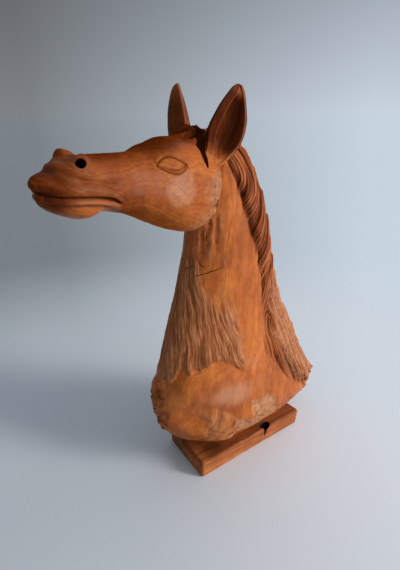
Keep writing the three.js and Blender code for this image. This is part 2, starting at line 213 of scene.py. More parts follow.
def weld(mesh):
    """Merges the points that cuts and joins left almost together, and splits their faces into triangles."""
    shape = bmesh.new()
    shape.from_mesh(mesh)
    bmesh.ops.remove_doubles(shape, verts=shape.verts, dist=WELD)
    bmesh.ops.dissolve_degenerate(shape, edges=shape.edges, dist=WELD)
    made = shape.verts.layers.float["made"]
    cut = [face for face in shape.faces if min(vert[made] for vert in face.verts) < 1]
    bmesh.ops.triangulate(shape, faces=cut)
    shape.to_mesh(mesh)
    shape.free()


def fill_layers(mesh):
    """Gives the points that cuts and joins made the mean of their neighbours' layer values."""
    count = len(mesh.vertices)
    edges = read(mesh.edges, "vertices", 2, int)
    here, beside = np.concatenate([edges, edges[:, ::-1]]).T
    known = np.clip(read(mesh.attributes["made"].data, "value", 1)[:, 0], 0, 1)
    weight = np.maximum(np.bincount(here, known[beside], count), 1e-6)
    for layer in LAYERS[1:]:
        data = mesh.attributes[layer].data
        values = read(data, "value", 1)[:, 0]
        means = np.bincount(here, (known * values)[beside], count) / weight
        data.foreach_set("value", np.where(known > 0.5, values, means))


# Neck and chest: level rings by height. Degrees count from the throat, positive on the horse's left.

NECK_FOOT, NECK_TOP = 24, 455
NECK_RINGS, NECK_COLUMNS = 240, 250
FINE_STEPS = 720
BACK_SHARPNESS = 1.25

neck_front = along(
    (24, -72), (34.5, -75), (42, -91), (50, -107), (63, -121.5), (100, -135), (140, -129.5), (213, -109.8),
    (277, -93.4), (340, -82), (400, -74), (440, -66), (450, -62), (455, -54),
)
neck_back = along(
    (24, 74), (31, 78), (38, 92), (46, 118), (52, 142), (57, 161), (61, 169), (65, 166.5), (75, 157),
    (90, 145), (178, 97), (236, 64), (300, 47.5), (345, 35), (400, 12), (435, -13), (448, -28), (455, -40),
)
neck_middle = along((24, 0), (60, 10), (100, 0), (180, -12), (260, -20), (345, -24), (455, -47))
neck_half_width = along(
    (24, 28), (31, 30), (38, 38), (46, 47), (60, 57), (95, 65), (140, 58), (200, 50), (280, 43), (345, 39),
    (410, 33), (436, 26), (449, 15), (455, 5),
)


def neck_section(angle, z):
    """Points on the plain neck, and the level directions out of it."""
    middle, width = neck_middle(z), neck_half_width(z)
    ahead = np.cos(angle)
    depth = np.where(ahead > 0, middle - neck_front(z), neck_back(z) - middle)
    side = signed_power(np.sin(angle), np.where(ahead > 0, 1, BACK_SHARPNESS))
    point = np.stack(np.broadcast_arrays(width * side, middle - depth * ahead, z), axis=-1)
    outward = np.stack(np.broadcast_arrays(side / width, -ahead / depth, 0 * z), axis=-1)
    return point, unit(outward)


# Hair: strands lie side by side along a place value, and each keeps its width for a stretch of its length

def strand_shape(place, length, seed):
    """Height, -1 to 1, and how deep in a groove, 0 to 1, of loose strands about one unit apart."""
    clump = noise(0.33 * place, length / 90, seed=seed)
    wide = 1 - 2 * np.abs(noise(0.8 * place, length / 60, seed=seed + 1))
    height = np.tanh(0.9 * clump + 0.9 * wide - 0.1)
    return height, smooth(-height, 0.2, 0.95)


def ribs(place, length, seed):
    """The same for even ribs, one to each unit, cut side by side with a gouge."""
    ridge = np.cos(2 * np.pi * (place + 0.3 * noise(place / 2, length / 45, seed=seed)))
    firm = 0.8 + 0.4 * noise(0.7 * place, length / 30, seed=seed + 1)
    return ridge * firm, firm * smooth(-ridge, 0.1, 0.9)


# The beard: its half-width in degrees by height, its ragged hem by degrees, and strands that fan out downward

beard_reach = along(
    (140, 84), (158, 78), (182, 79), (207, 78), (224, 74), (233, 68), (239, 59), (249, 52), (257, 46),
    (270, 38), (279, 34), (296, 28), (304, 20), (310, 12), (318, 5), (330, 2),
)
beard_hem = along(
    (0, 150), (10, 150), (14, 151), (19, 160), (22, 169), (33, 166), (40, 171), (46, 170), (53, 175),
    (56, 180), (63, 175), (70, 165), (77, 158), (88, 172),
)
tongue_middle = along((225, 66), (239, 63.5), (250, 61), (258, 59), (264, 58))
tongue_half_width = along((225, 7), (239, 6.5), (250, 4.5), (258, 2.5), (266, -2))
BEARD_RAISE = 2.6
BEARD_PARTING = -10
BEARD_SLANT = 0.12
BEARD_SPREAD = 210
BEARD_MIDDLE = 250
BEARD_PITCH = 3.2
BEARD_STRAND_DEPTH = 1.1
BEARD_HEM_SOFTNESS = 1.6


def beard_relief(degrees, arc, z):
    """The beard's relief, its mask, its grooves darkened with painted shade, the places of its strands and
    their pale crests, partly rubbed and partly painted highlight.
    """
    side, which = np.abs(degrees), np.sign(degrees)
    sway = 1.1 * noise(arc / 34, z / 48, seed=4) + 0.4 * noise(arc / 11, z / 20, seed=5)
    from_parting = np.abs(arc - BEARD_PARTING) + BEARD_SLANT * BEARD_SPREAD
    place = from_parting * np.exp((z - BEARD_MIDDLE) / BEARD_SPREAD) / BEARD_PITCH + sway
    height, groove = strand_shape(place, z, 11)
    loose = smooth(z, 222, 245)
    ragged = 1.6 * noise(z / 12, which, seed=6) + 1.2 * noise(z / 5, which, seed=7)
    ragged = ragged + 5 * loose * noise(0.35 * place, z / 25, seed=58)
    in_tongue = tongue_half_width(z) - np.abs(side - tongue_middle(z))
    from_edge = np.maximum(beard_reach(z) - side, in_tongue) + ragged
    inside = smooth(from_edge, -2.5 - 5 * loose, 3.5 + 4 * loose)
    hem = beard_hem(side) + 3.5 * noise(0.8 * place, seed=15) + 1.2 * noise(2 * place, seed=16)
    above = within(z, hem - BEARD_HEM_SOFTNESS, hem + BEARD_HEM_SOFTNESS, 312, 332)
    mask = inside * above
    thick = 1 - 0.85 * smooth(z, 225, 262)
    relief = mask * (thick * BEARD_RAISE + BEARD_STRAND_DEPTH * mask * height)
    # A dip along the beard's inner edge, with a painted shade line in it.
    edge = 0.6 * above * bump((from_edge + 2) / 2) * smooth(z, 236, 244)
    crest = mask * smooth(height, 0.35, 0.95)
    dark = np.clip(0.55 * groove * mask + 0.35 * edge, 0, 1)
    return relief - 0.5 * edge, mask, dark, place, crest


# The mane: the angle of the valley on each side by height, and strands that leave the crest and bend outward

mane_edge = along(
    (45, 142), (86, 122), (104, 115), (122, 109), (142, 104), (163, 99), (178, 99), (194, 101), (213, 104),
    (230, 107), (259, 108), (287, 106), (305, 103), (322, 98), (349, 92), (374, 85), (390, 81), (397, 79),
    (413, 70), (440, 60),
)
mane_fall = along(
    (40, 0), (150, 6), (200, 24), (240, 56), (275, 89), (300, 110), (330, 132), (365, 161), (395, 180),
    (425, 189), (455, 194),
)
crest_edge = along(
    (60, 116), (128, 114), (150, 112), (172, 113), (194, 113), (214, 115), (238, 120), (253, 123), (285, 135),
)
MANE_VALLEY = 3.6
MANE_RAISE = 2.2
MANE_LOCK_PITCH = 34
MANE_LOCK_DEPTH = 2.6
MANE_STRAND_PITCH = 3.2
MANE_RIB_PITCH = 9
MANE_RIB_DEPTH = 1.2
MANE_HEM = 70
MANE_HEM_SOFTNESS = 3
CREST_TOP = 268
CREST_TOP_SOFTNESS = 14
CREST_RIB_PITCH = 12
CREST_RIB_STRENGTH = 2.0
CREST_STEP_PITCH = 29
CREST_STEP = 2.4
FAR_SIDE_STRENGTH = 0.65


def mane_relief(degrees, crest, z):
    """The mane's relief, its mask, its grooves, lock gaps and valley darkened with painted shade, the places
    of its strands and its pale crest, partly the wood's own and partly painted highlight.
    """
    side, which = np.abs(degrees), np.sign(degrees)
    flow = crest + mane_fall(z) + 5 * noise(crest / 24, z / 40, seed=22)
    crest_top = CREST_TOP + 22 * noise(crest / 7, which, seed=56)
    by_crest = smooth(side - crest_edge(z) + 4 * noise(z / 14, seed=27), -3, 3)
    by_crest = by_crest * smooth(z, crest_top + CREST_TOP_SOFTNESS, crest_top - CREST_TOP_SOFTNESS)
    slanted, slanted_groove = ribs(flow / MANE_RIB_PITCH, z, 23)
    straight_flow = crest + 0.12 * z + 3 * noise(crest / 15, z / 50, seed=26)
    straight, straight_groove = ribs(straight_flow / CREST_RIB_PITCH, z, 28)
    straight_groove = straight_groove * (0.7 + 0.8 * smooth(z, 170, 100))
    place = np.where(by_crest > 0.5, straight_flow, flow) / MANE_STRAND_PITCH
    height = slanted + (CREST_RIB_STRENGTH * straight - slanted) * by_crest
    groove = slanted_groove + (straight_groove - slanted_groove) * by_crest

    lock_turn = (flow / MANE_LOCK_PITCH + 0.25 * noise(flow / 60, z / 60, seed=24)) % 1
    lock = (smooth(lock_turn, 0, 0.65) - smooth(lock_turn, 0.78, 1) - 0.5) * (1 - by_crest)
    gap = np.maximum(bump((lock_turn - 0.95) / 0.13), bump((lock_turn + 0.05) / 0.13)) * (1 - by_crest)
    step_turn = (z / CREST_STEP_PITCH + 0.3 * noise(z / 37, seed=29)) % 1
    steps = CREST_STEP * (step_turn - 0.5) * smooth(step_turn, 0, 0.12)
    steps = steps * smooth(44 - crest, 0, 30) * smooth(z, 90, 130)

    frayed = 1 + smooth(180 - z, 0, 60)
    fringe = 2.5 * noise(0.45 * place, seed=21) + 1.2 * noise(1.1 * place, seed=25)
    past = side - mane_edge(z) - frayed * fringe
    hem = MANE_HEM + 11 * noise(0.3 * place, seed=30) + 4 * noise(0.9 * place, seed=55)
    above = smooth(z, hem - MANE_HEM_SOFTNESS, hem + MANE_HEM_SOFTNESS)
    fades = above * smooth(z, 452, 438)
    valley = -MANE_VALLEY * bump((past - 4) / 5)
    hair = smooth(past, 0, 5)
    body = MANE_RAISE * smooth(past, 6, 30) + by_crest + 2 * smooth(z, 150, 90)
    strength = np.where(degrees > 0, 1, FAR_SIDE_STRENGTH)
    strands = strength * (MANE_RIB_DEPTH * height + MANE_LOCK_DEPTH * lock) + steps
    mask = hair * above * smooth(z, 455, 442)
    # Painted shade in the strand grooves and lock gaps, and a painted shadow along the valley.
    dark = mask * np.clip(0.75 * groove + (0.35 + 0.4 * smooth(z, 250, 290)) * gap, 0, 1)
    dark = dark + (0.3 + 0.4 * smooth(z, 290, 350)) * fades * bump((past - 4) / 7)
    pale = mask * by_crest * (1 - 0.85 * groove)
    return fades * (valley + body + hair * strands), mask, np.clip(dark, 0, 1), place, pale


# Worn places: bark on the front, a flat pale facet, a torn splinter, and the rough rim below.
# A place has a middle and a reach in degrees, then in height. A run is where a mask rises and falls again.

TEAR_Y, TEAR_Z = 0.4, 0.92
flake_edge = along(
    (38, -62), (45, -54), (53, -47), (62, -44), (71, -46), (89, -52), (99, -63), (106, -75), (112, -86),
)
CHEST_HOLLOW, CHEST_HOLLOW_DEPTH = (41, 25, 103, 14), 10
# The chest's patch of painted shade, then its varnished patch with a painted highlight.
CHEST_SHADE, CHEST_PAINTED_HIGHLIGHT = (40, 24, 98, 16), (66, 18, 128, 17)
FLAKE_TIP, FLAKE_TIP_RISE = (57, 8, 43, 8), 7
FRONT_LUMP, FRONT_LUMP_RISE = (-14, 17, 132, 16), 7
BARK_PLACE = (-4, 22, 108, 42)
SHOULDER_RISE, SHOULDER_HEIGHT, SHOULDER_REACH = 6, 148, 19
SHOULDER_DEGREES = (5, 40, 80, 110)
THROAT_DEGREES, THROAT_HEIGHTS = (6, 18, 48, 62), (300, 322, 352, 366)
FLAKE_HEIGHTS = (38, 48, 96, 112)
RIM_HEIGHTS = (34, 39, 47, 60)
MANE_SHADE_HEIGHTS = (250, 330, 370, 425)
DENSE_HEIGHTS = (255, 275, 425, 440)
FACET_DEPTH, TORN_RISE, UNDER_DEPTH, RIM_WAVE, SHRED_RISE = 2.4, 3.6, 1.6, 1.6, 1.4


def neck_wear(point, degrees, arc, z):
    """The worn places' relief, and how pale, barky, dark, stained and torn they are; the darkness and
    staining include painted shade.
    """
    x, y = point[..., 0], point[..., 1]
    left = smooth(x, 5, 20)
    ragged = 5 * rough(y / 14, z / 14, seed=31, octaves=4)

    relief = SHOULDER_RISE * bump((z - SHOULDER_HEIGHT) / SHOULDER_REACH) * within(degrees, *SHOULDER_DEGREES)
    relief = relief - CHEST_HOLLOW_DEPTH * spot(degrees, z, CHEST_HOLLOW)
    relief = relief + FLAKE_TIP_RISE * spot(degrees, z, FLAKE_TIP)
    relief = relief + FRONT_LUMP_RISE * spot(degrees, z, FRONT_LUMP)
    barky = smooth(14 * spot(degrees, z, BARK_PLACE) + 2.5 * noise(arc / 8, z / 8, seed=32), 5, 9)
    cracks = np.abs(noise(arc / 9, z / 9, seed=40))
    knobs = barky * (2.6 * rough(arc / 7, z / 7, seed=33, octaves=4) - 1.5 * smooth(cracks, 0.14, 0))

    facet_edges = (
        y + 26, 107 - z, (110 - z - 0.8 * y) / 1.28, (z + 0.76 * y - 65) / 1.26, z - 54,
        60 - 0.9 * y - 0.45 * z,
    )
    facet = left * smooth(np.minimum.reduce(facet_edges) + 0.5 * ragged, 0, 2)
    facet_marks = rough((y + z) / 5, (y - z) / 14, seed=34, octaves=4)
    facet_dip = -facet * (FACET_DEPTH - 0.15 * facet_marks)

    past_flake = y - flake_edge(z) + 0.3 * ragged
    flake_band = left * within(z, *FLAKE_HEIGHTS) * smooth(degrees, 22, 40)
    torn = flake_band * smooth(-past_flake, 0, 1.5)
    torn = torn * smooth(past_flake + 5 * rough(y / 9, z / 9, seed=57), -46, -26)
    fibres = rough((TEAR_Y * y + TEAR_Z * z) / 30, (TEAR_Z * y - TEAR_Y * z) / 9, seed=35, octaves=2)
    torn_rise = torn * (TORN_RISE + 1.5 * fibres)

    under = left * smooth(past_flake, -1, 1) * smooth(12 + ragged - y, 0, 4) * smooth(z, 36, 44)
    under = under * smooth(84 - 0.4 * (y + 40) + ragged - z, 0, 4) * smooth(degrees, 50, 60)
    under_dip = -UNDER_DEPTH * under * (1 + 0.6 * rough(y / 6, z / 6, seed=36))
    rim_waves = within(z, *RIM_HEIGHTS) * RIM_WAVE * rough(arc / 20, z / 20, seed=37)

    throat = within(degrees, *THROAT_DEGREES) * within(z, *THROAT_HEIGHTS)
    shreds = rough((arc + 0.12 * z) / 4.5, z / 22, seed=39, octaves=4)
    reddish = smooth(rough(arc / 34, z / 46, seed=53), 0, 0.8) * smooth(z, 250, 300) * smooth(degrees, 80, 50)

    marks = 0.4 * rough(arc / 16, z / 24, seed=38) * smooth(z, 40, 70)
    relief = relief + knobs + facet_dip + torn_rise + under_dip + rim_waves
    relief = relief + SHRED_RISE * throat * shreds + marks
    pale = facet + under + 0.45 * throat * smooth(shreds, -0.2, 0.6)
    # Dark marks: streaks between the torn fibres, cracks in the facet and the bark, painted shade in the
    # hollows of the throat's shreds, and a painted shadow along the flake's edge.
    dark = 0.25 * torn * smooth(-fibres, 0.1, 0.7) + 0.22 * throat * smooth(-shreds, 0.3, 0.9)
    dark = dark + 0.5 * facet * smooth(-facet_marks, 0.75, 1.0) + 0.9 * barky * smooth(cracks, 0.1, 0.02)
    dark = dark + 0.5 * flake_band * bump(past_flake - 0.8)
    # Reddish staining and the throat's, then painted shade in the chest hollow, and painted shade low on the
    # chest where it faces down, kept off the broken places and the back.
    stain_and_shade = 0.15 * reddish + 0.05 * throat + 0.3 * spot(degrees, z, CHEST_SHADE)
    low_shade_reach = (1 - 0.7 * np.clip(under + facet + torn, 0, 1)) * (1 - 0.8 * smooth(y, 0, 30))
    stain_and_shade = stain_and_shade + 0.35 * smooth(z, 95, 60) * low_shade_reach
    return relief, np.clip(pale, 0, 1), barky, dark, stain_and_shade, torn


def neck_rings():
    """The neck's rings of points and their layers. The points lie closer together in the hair."""
    fine_z = np.linspace(NECK_FOOT, NECK_TOP, 900)
    dense = 1 + 0.4 * within(fine_z, *DENSE_HEIGHTS)
    heights = np.append(spread(fine_z, dense, NECK_RINGS), NECK_TOP)
    fine = np.linspace(-np.pi, np.pi, FINE_STEPS + 1)
    side = np.degrees(np.abs(fine))
    angles, arcs, crests = [], [], []
    for z in heights:
        section, _ = neck_section(fine, np.full(fine.shape, z))
        gone = gone_along(*section.T)
        beard_end, mane_start = beard_reach(z), mane_edge(z)
        in_beard = smooth(side, beard_end + 10, beard_end + 2)
        hair = np.maximum(in_beard, smooth(side, mane_start - 8, mane_start))
        ring = spread(fine, np.gradient(gone, fine) * (1 + 1.1 * hair), NECK_COLUMNS)
        arc = np.interp(ring, fine, gone) - gone[FINE_STEPS // 2]
        angles.append(ring)
        arcs.append(arc)
        crests.append(gone[-1] / 2 - np.abs(arc))
    angle, arc, crest = np.array(angles), np.array(arcs), np.array(crests)
    z = np.broadcast_to(heights[:, None], angle.shape)
    degrees = np.degrees(angle)
    point, outward = neck_section(angle, z)
    beard, beard_mask, beard_groove, beard_place, beard_crest_wear_and_highlight = beard_relief(degrees, arc, z)
    mane, mane_mask, mane_groove, mane_place, mane_crest_pale_and_highlight = mane_relief(degrees, crest, z)
    wear, raw, bark, wear_dark, wear_stain_and_shade, torn = neck_wear(point, degrees, arc, z)
    bare = 1 - beard_mask
    # A varnished patch on the chest, with a painted highlight on it.
    painted_highlight_place = spot(degrees, z, CHEST_PAINTED_HIGHLIGHT) + 0.18 * rough(arc / 14, z / 14, seed=52)
    # Painted shade on the mane's upper part, where it overhangs its valley.
    mane_painted_shade = 0.35 * mane_mask * within(z, *MANE_SHADE_HEIGHTS)
    layers = {
        "beard": beard_mask,
        "mane": mane_mask,
        "groove": np.clip(beard_groove + mane_groove + wear_dark, 0, 1),
        # Pale raw wood, with the strands' pale crests, partly rubbed and partly painted highlight.
        "raw": np.clip(raw * bare + 0.75 * mane_crest_pale_and_highlight + 0.35 * beard_crest_wear_and_highlight, 0, 1),
        "stain_and_shade": np.clip(mane_painted_shade + wear_stain_and_shade * bare, 0, 1),
        "varnish_and_painted_highlight": 0.85 * smooth(painted_highlight_place, 0, 1.1) * bare * (1 - raw),
        "bark": bark,
        "torn": torn,
        "strand": np.where(beard_mask > mane_mask, beard_place, mane_place),
    }
    return point + outward * (beard + mane + wear)[..., None], layers


# Head: upright rings across its own axis, at a distance forward of the pivot. Left is the horse's left.
# A place has a middle and a reach forward, then in height.

HEAD_TURN = np.radians(14)
HEAD_PIVOT = np.array([0, -70, 0])
HEAD_BACK, HEAD_FRONT = -10, 210
HEAD_RINGS, HEAD_COLUMNS = 186, 168
HEAD_TAPER = 0.16
NOSE_LEAN = 0.34
NOSE_LEAN_START = 410
NOSE_ROUNDING = 2.0
NOSE_END_RINGS = 6
LOWER_LIP_SET_BACK = 3.0

head_top = along(
    (-10, 414), (-4, 438), (4, 453), (20, 454.5), (30, 450), (40, 447.5), (60, 447.5), (72, 443.4),
    (89, 437.2), (99, 435.5), (128, 435.8), (150, 436.3), (170, 435.4), (184, 432.3), (192, 428.8),
    (196.5, 425.6), (200, 424.8), (205, 422.8), (210, 418.8),
)
head_bottom = along(
    (-10, 398), (-4, 374), (6, 357), (18, 347), (32, 344), (52, 348.5), (75, 359), (98, 369.5), (118, 378),
    (137, 383), (152, 386.3), (160, 386.6), (167, 384.2), (175, 383.2), (189, 387.8), (197, 391.2),
    (203, 394.8), (208, 397.5), (210, 399.5),
)
head_half_width = along(
    (-10, 8), (-5, 24), (4, 36), (20, 43), (45, 46), (77, 44.5), (100, 38), (130, 30), (155, 28), (172, 28.5),
    (190, 25), (200, 18.5), (205, 13.5), (208, 9), (210, 4.5),
)
head_squareness = along((-10, 2), (40, 2.3), (130, 2.4), (170, 2.7), (210, 2.2))
mouth_line = along(
    (138, 392.5), (143, 395), (150, 398.2), (161, 401.6), (175, 404.3), (191, 405.8), (201, 406.4),
    (206.5, 407.8), (212, 410.2),
)
cheek_crease = along((134, 393), (137, 396), (145, 402), (152, 408), (161, 414), (170, 417))
crust_edge = along(
    (350, 52), (360, 50), (365, 46), (371, 41), (378, 39), (388, 44), (397, 45), (402, 38), (408, 24),
    (416, 6),
)

EYE_FORWARD, EYE_HEIGHT = 81, 422.7
EYE_HALF_LENGTH = 15.8
EYE_TILT = 0.065
EYE_RUN, EYE_HEIGHTS = (58, 64, 98, 104), (411, 414, 432, 436)
BROW, BROW_RISE = (80, 17, 434, 5.5), 2.6
CHEEK_HOLLOW, CHEEK_HOLLOW_DEPTH = (118, 16, 408, 12), 2.2
CHEEK_SHADE = (70, 30, 395, 25)
LIP_START, LIP_FULL = 138, 152
LOWER_LIP_RUN = (138, 150, 190, 206)
CREASE_RUN = (133, 138, 158, 170)
CORNER_FOLD, CORNER_FOLD_RISE = (136, 4, 394, 7), 0.8
NOSE_PIT, NOSE_PIT_DEPTH = (183, 3.5, 436, 4), 1.5
MUZZLE_FOLDS, MUZZLE_FOLD_PITCH, MUZZLE_FOLD_RISE = (185, 14, 421, 9), 8.5, 1.1
PALE_MUZZLE = (160, 9, 425, 8)
UPPER_LIP_RISE, LOWER_LIP_RISE, LIP_BAND_DEPTH, CHIN_CREASE_DEPTH = 2.3, 2.4, 1.7, 1.7
FLARE_RISE, FAR_FLARE_RISE = 6.5, 4.0
LID_RISE, LID_FALL = 6.6, 6.6
NOSTRIL_FORWARD, NOSTRIL_LEFT, NOSTRIL_HEIGHT = 174.5, 16, 432
NOSTRIL_HOLE_AHEAD = 4
NOSTRIL_RADIUS = 4.5
NOSTRIL_DEPTH = 16
FAR_NOSTRIL = (172, -15, 433.2)
FAR_NOSTRIL_AHEAD, FAR_NOSTRIL_BEHIND = 5.5, 17
FAR_NOSTRIL_WIDTH, FAR_NOSTRIL_RISE = 8.5, 8.4
FAR_NOSTRIL_DARKENING = 0.85
MOUTH_DEPTH = 3.5


def head_place(forward, left, z):
    """Points of the object's frame at places on the head."""
    turn_cos, turn_sin = np.cos(HEAD_TURN), np.sin(HEAD_TURN)
    x = left * turn_cos + forward * turn_sin
    y = left * turn_sin - forward * turn_cos
    return np.stack(np.broadcast_arrays(x, y, z), axis=-1) + HEAD_PIVOT


def head_way(forward, left, z):
    """A direction of the head in the object's frame."""
    return head_place(forward, left, z) - HEAD_PIVOT


def head_section(forward, angle):
    """The plain head's distance to the left and height, by the angle round its axis."""
    top, bottom = head_top(forward), head_bottom(forward)
    power = 2 / head_squareness(forward)
    rise = signed_power(np.sin(angle), power)
    left = head_half_width(forward) * signed_power(np.cos(angle), power) * (1 - HEAD_TAPER * rise)
    return left, (top + bottom) / 2 + (top - bottom) / 2 * rise


def nose_lean(forward, z):
    """How far the front of the nose and lips is moved forward."""
    upper = NOSE_LEAN * smooth(forward, 190, HEAD_FRONT) * np.maximum(z - NOSE_LEAN_START, 0)
    lower = smooth(forward, 188, HEAD_FRONT) * smooth(mouth_line(forward) - z, -1, 4)
    under_tip = 2.5 * smooth(forward, 196, HEAD_FRONT) * bump((z - 409.5) / 3)
    return upper - LOWER_LIP_SET_BACK * lower - under_tip


def eye_relief(forward, z):
    """Lids, eyeball and the grooves between them, with the painted shade in each groove."""
    share = (forward - EYE_FORWARD) / EYE_HALF_LENGTH
    height = z - EYE_HEIGHT - EYE_TILT * (forward - EYE_FORWARD)
    arch = np.clip(1 - np.abs(share) ** 1.8, 0, 1)
    ends = smooth(np.abs(share), 1.12, 0.97)
    upper = height - LID_RISE * arch * (1 + 0.12 * share)
    lower = height + LID_FALL * arch
    upper_groove = ends * bump(upper / 0.75)
    upper_lid = ends * bump((upper - 2.0) / 1.4)
    inner_groove = ends * bump((lower - 2.1 * np.sqrt(arch)) / 0.7)
    lower_lid = ends * bump(lower - 0.5)
    lower_groove = ends * bump((lower + 1.2) / 0.75)
    eyeball = arch * smooth(lower, 2, 5) * smooth(upper, 0.3, -1.5)
    relief = 1.2 * eyeball + upper_lid + 1.1 * lower_lid
    relief = relief - 1.5 * upper_groove - inner_groove - 1.2 * lower_groove
    return relief, np.clip(upper_groove + 0.75 * inner_groove + 0.75 * lower_groove, 0, 1)


def muzzle_relief(forward, left, z):
    """Nostrils, lips and creases, with their painted shade and their pale places, mostly painted highlight.
    """
    side = np.abs(left)
    along_nostril, up_nostril = forward - NOSTRIL_FORWARD, z - NOSTRIL_HEIGHT
    from_hole = np.hypot(along_nostril - NOSTRIL_HOLE_AHEAD, up_nostril)
    flare = bump(along_nostril / 9, (side - NOSTRIL_LEFT) / 8.5, up_nostril / 11)
    flare = np.where(left > 0, FLARE_RISE, FAR_FLARE_RISE) * flare
    under_fold = 0.8 * bump((np.hypot(along_nostril - 3, up_nostril) - 11) / 2) * smooth(-up_nostril, -3, 6)
    nostril_ring = bump((from_hole - 6.8) / 1.6) * smooth(left, 8, 14)

    lips = smooth(forward, LIP_START, LIP_FULL)
    from_mouth = z - mouth_line(forward)
    upper_lip = UPPER_LIP_RISE * lips * bump((from_mouth - 5.5) / 3.8)
    lip_band = -LIP_BAND_DEPTH * lips * bump((from_mouth - 12.5) / 3) * smooth(forward, 206, 196)
    lower_lip = LOWER_LIP_RISE * lips * bump((from_mouth + 3.6) / 2.6)
    chin_crease = lips * bump((from_mouth + 7.7) / 1.7) * smooth(side, 4, 12)
    lip_edge = lips * bump(from_mouth / 1.2)

    run = within(forward, *CREASE_RUN) * smooth(side, 10, 18)
    from_crease = z - cheek_crease(forward)
    crease = run * bump(from_crease / 1.6)
    fold = run * bump((from_crease - 4.2) / 2.8)
    corner_fold = spot(forward, z, CORNER_FOLD) * smooth(side, 12, 20)
    nose_knob = bump((forward - 190) / 4.0, left / 15) * smooth(z, 420, 426)
    nose_notch = bump((forward - 197) / 2.0, left / 12) * smooth(z, 417, 422)
    pit = spot(forward, z, NOSE_PIT) * smooth(left, 0, 6)
    wrinkled = spot(forward, z, MUZZLE_FOLDS) * smooth(from_hole, 8, 13)
    fold_turn = (0.47 * forward - 0.88 * z) / MUZZLE_FOLD_PITCH + 0.35 * noise(forward / 12, z / 9, seed=47)
    wrinkles = wrinkled * np.cos(2 * np.pi * fold_turn)

    relief = flare + under_fold + upper_lip + lip_band + lower_lip
    relief = relief - CHIN_CREASE_DEPTH * chin_crease - lip_edge
    relief = relief - 0.5 * crease + 0.7 * fold + CORNER_FOLD_RISE * corner_fold
    relief = relief + nose_knob - 1.5 * nose_notch - NOSE_PIT_DEPTH * pit
    relief = relief + MUZZLE_FOLD_RISE * wrinkles + 0.9 * nostril_ring
    # Painted shade in the chin crease, the cheek crease, along the lip line, in the notch, the pit and the
    # folds.
    dark = 0.55 * chin_crease + 0.25 * crease + 0.85 * lip_edge + 0.5 * nose_notch + 0.6 * pit
    dark = dark + 0.4 * np.clip(-wrinkles, 0, 1)
    # Painted highlights on the lip rolls, the nostril's rim and the fold crests, and a pale patch of the wood
    # beside the nostril.
    lip_highlight = lips * (0.8 * bump((from_mouth - 6) / 3.5) + bump((from_mouth + 4) / 2.4))
    pale = 0.45 * smooth(side, 8, 14) * lip_highlight * smooth(forward, 200, 186) + 0.35 * nostril_ring
    pale = pale + 0.2 * spot(forward, z, PALE_MUZZLE) + 0.35 * np.clip(wrinkles, 0, 1)
    return relief, dark, pale


def poll_relief(forward, left, z):
    """The rough tuft between the ears, with the painted shade in its hollows."""
    front = 35 + 5 * noise(left / 5, seed=41)
    tuft = smooth(z, 440, 448) * within(forward, -12, -2, front, front + 8)
    lumps = 2.8 * rough(forward / 15, left / 4.2, seed=42) + 0.8
    return tuft * lumps, 0.8 * tuft * smooth(-lumps, -0.9, 0.3)


def crust_relief(forward, side, z):
    """The cracked crust behind the cheek, with its dark crevices and pits, partly painted shade, and how pale
    it is.
    """
    inside = crust_edge(z) + 3 - forward + 4 * noise(z / 9, forward / 12, seed=43)
    inside = inside + 2 * noise(z / 4, forward / 5, seed=46)
    band = smooth(inside, 0, 3) * smooth(side, 8, 18) * smooth(z, 420, 410)
    crust = band * smooth(forward, 34, 22)
    pits = np.clip(rough(forward / 4, z / 6, seed=44, octaves=4), -1.2, 1)
    crevice = smooth(np.abs(noise(forward / 7, z / 10, seed=54) + 0.3 * pits), 0.13, 0.02)
    relief = band * (0.5 * pits - 0.7) + crust * (1.0 + 0.9 * pits - 1.6 * crevice)
    deep = 0.8 * crevice + 0.4 * smooth(z, 392, 374) * smooth(pits, 0.4, -0.4)
    dark = 0.35 * band * smooth(-pits, 0.5, 0.9) + crust * deep
    return relief, dark, 0.55 * band * smooth(pits, -0.8, 0.2) + 0.5 * crust


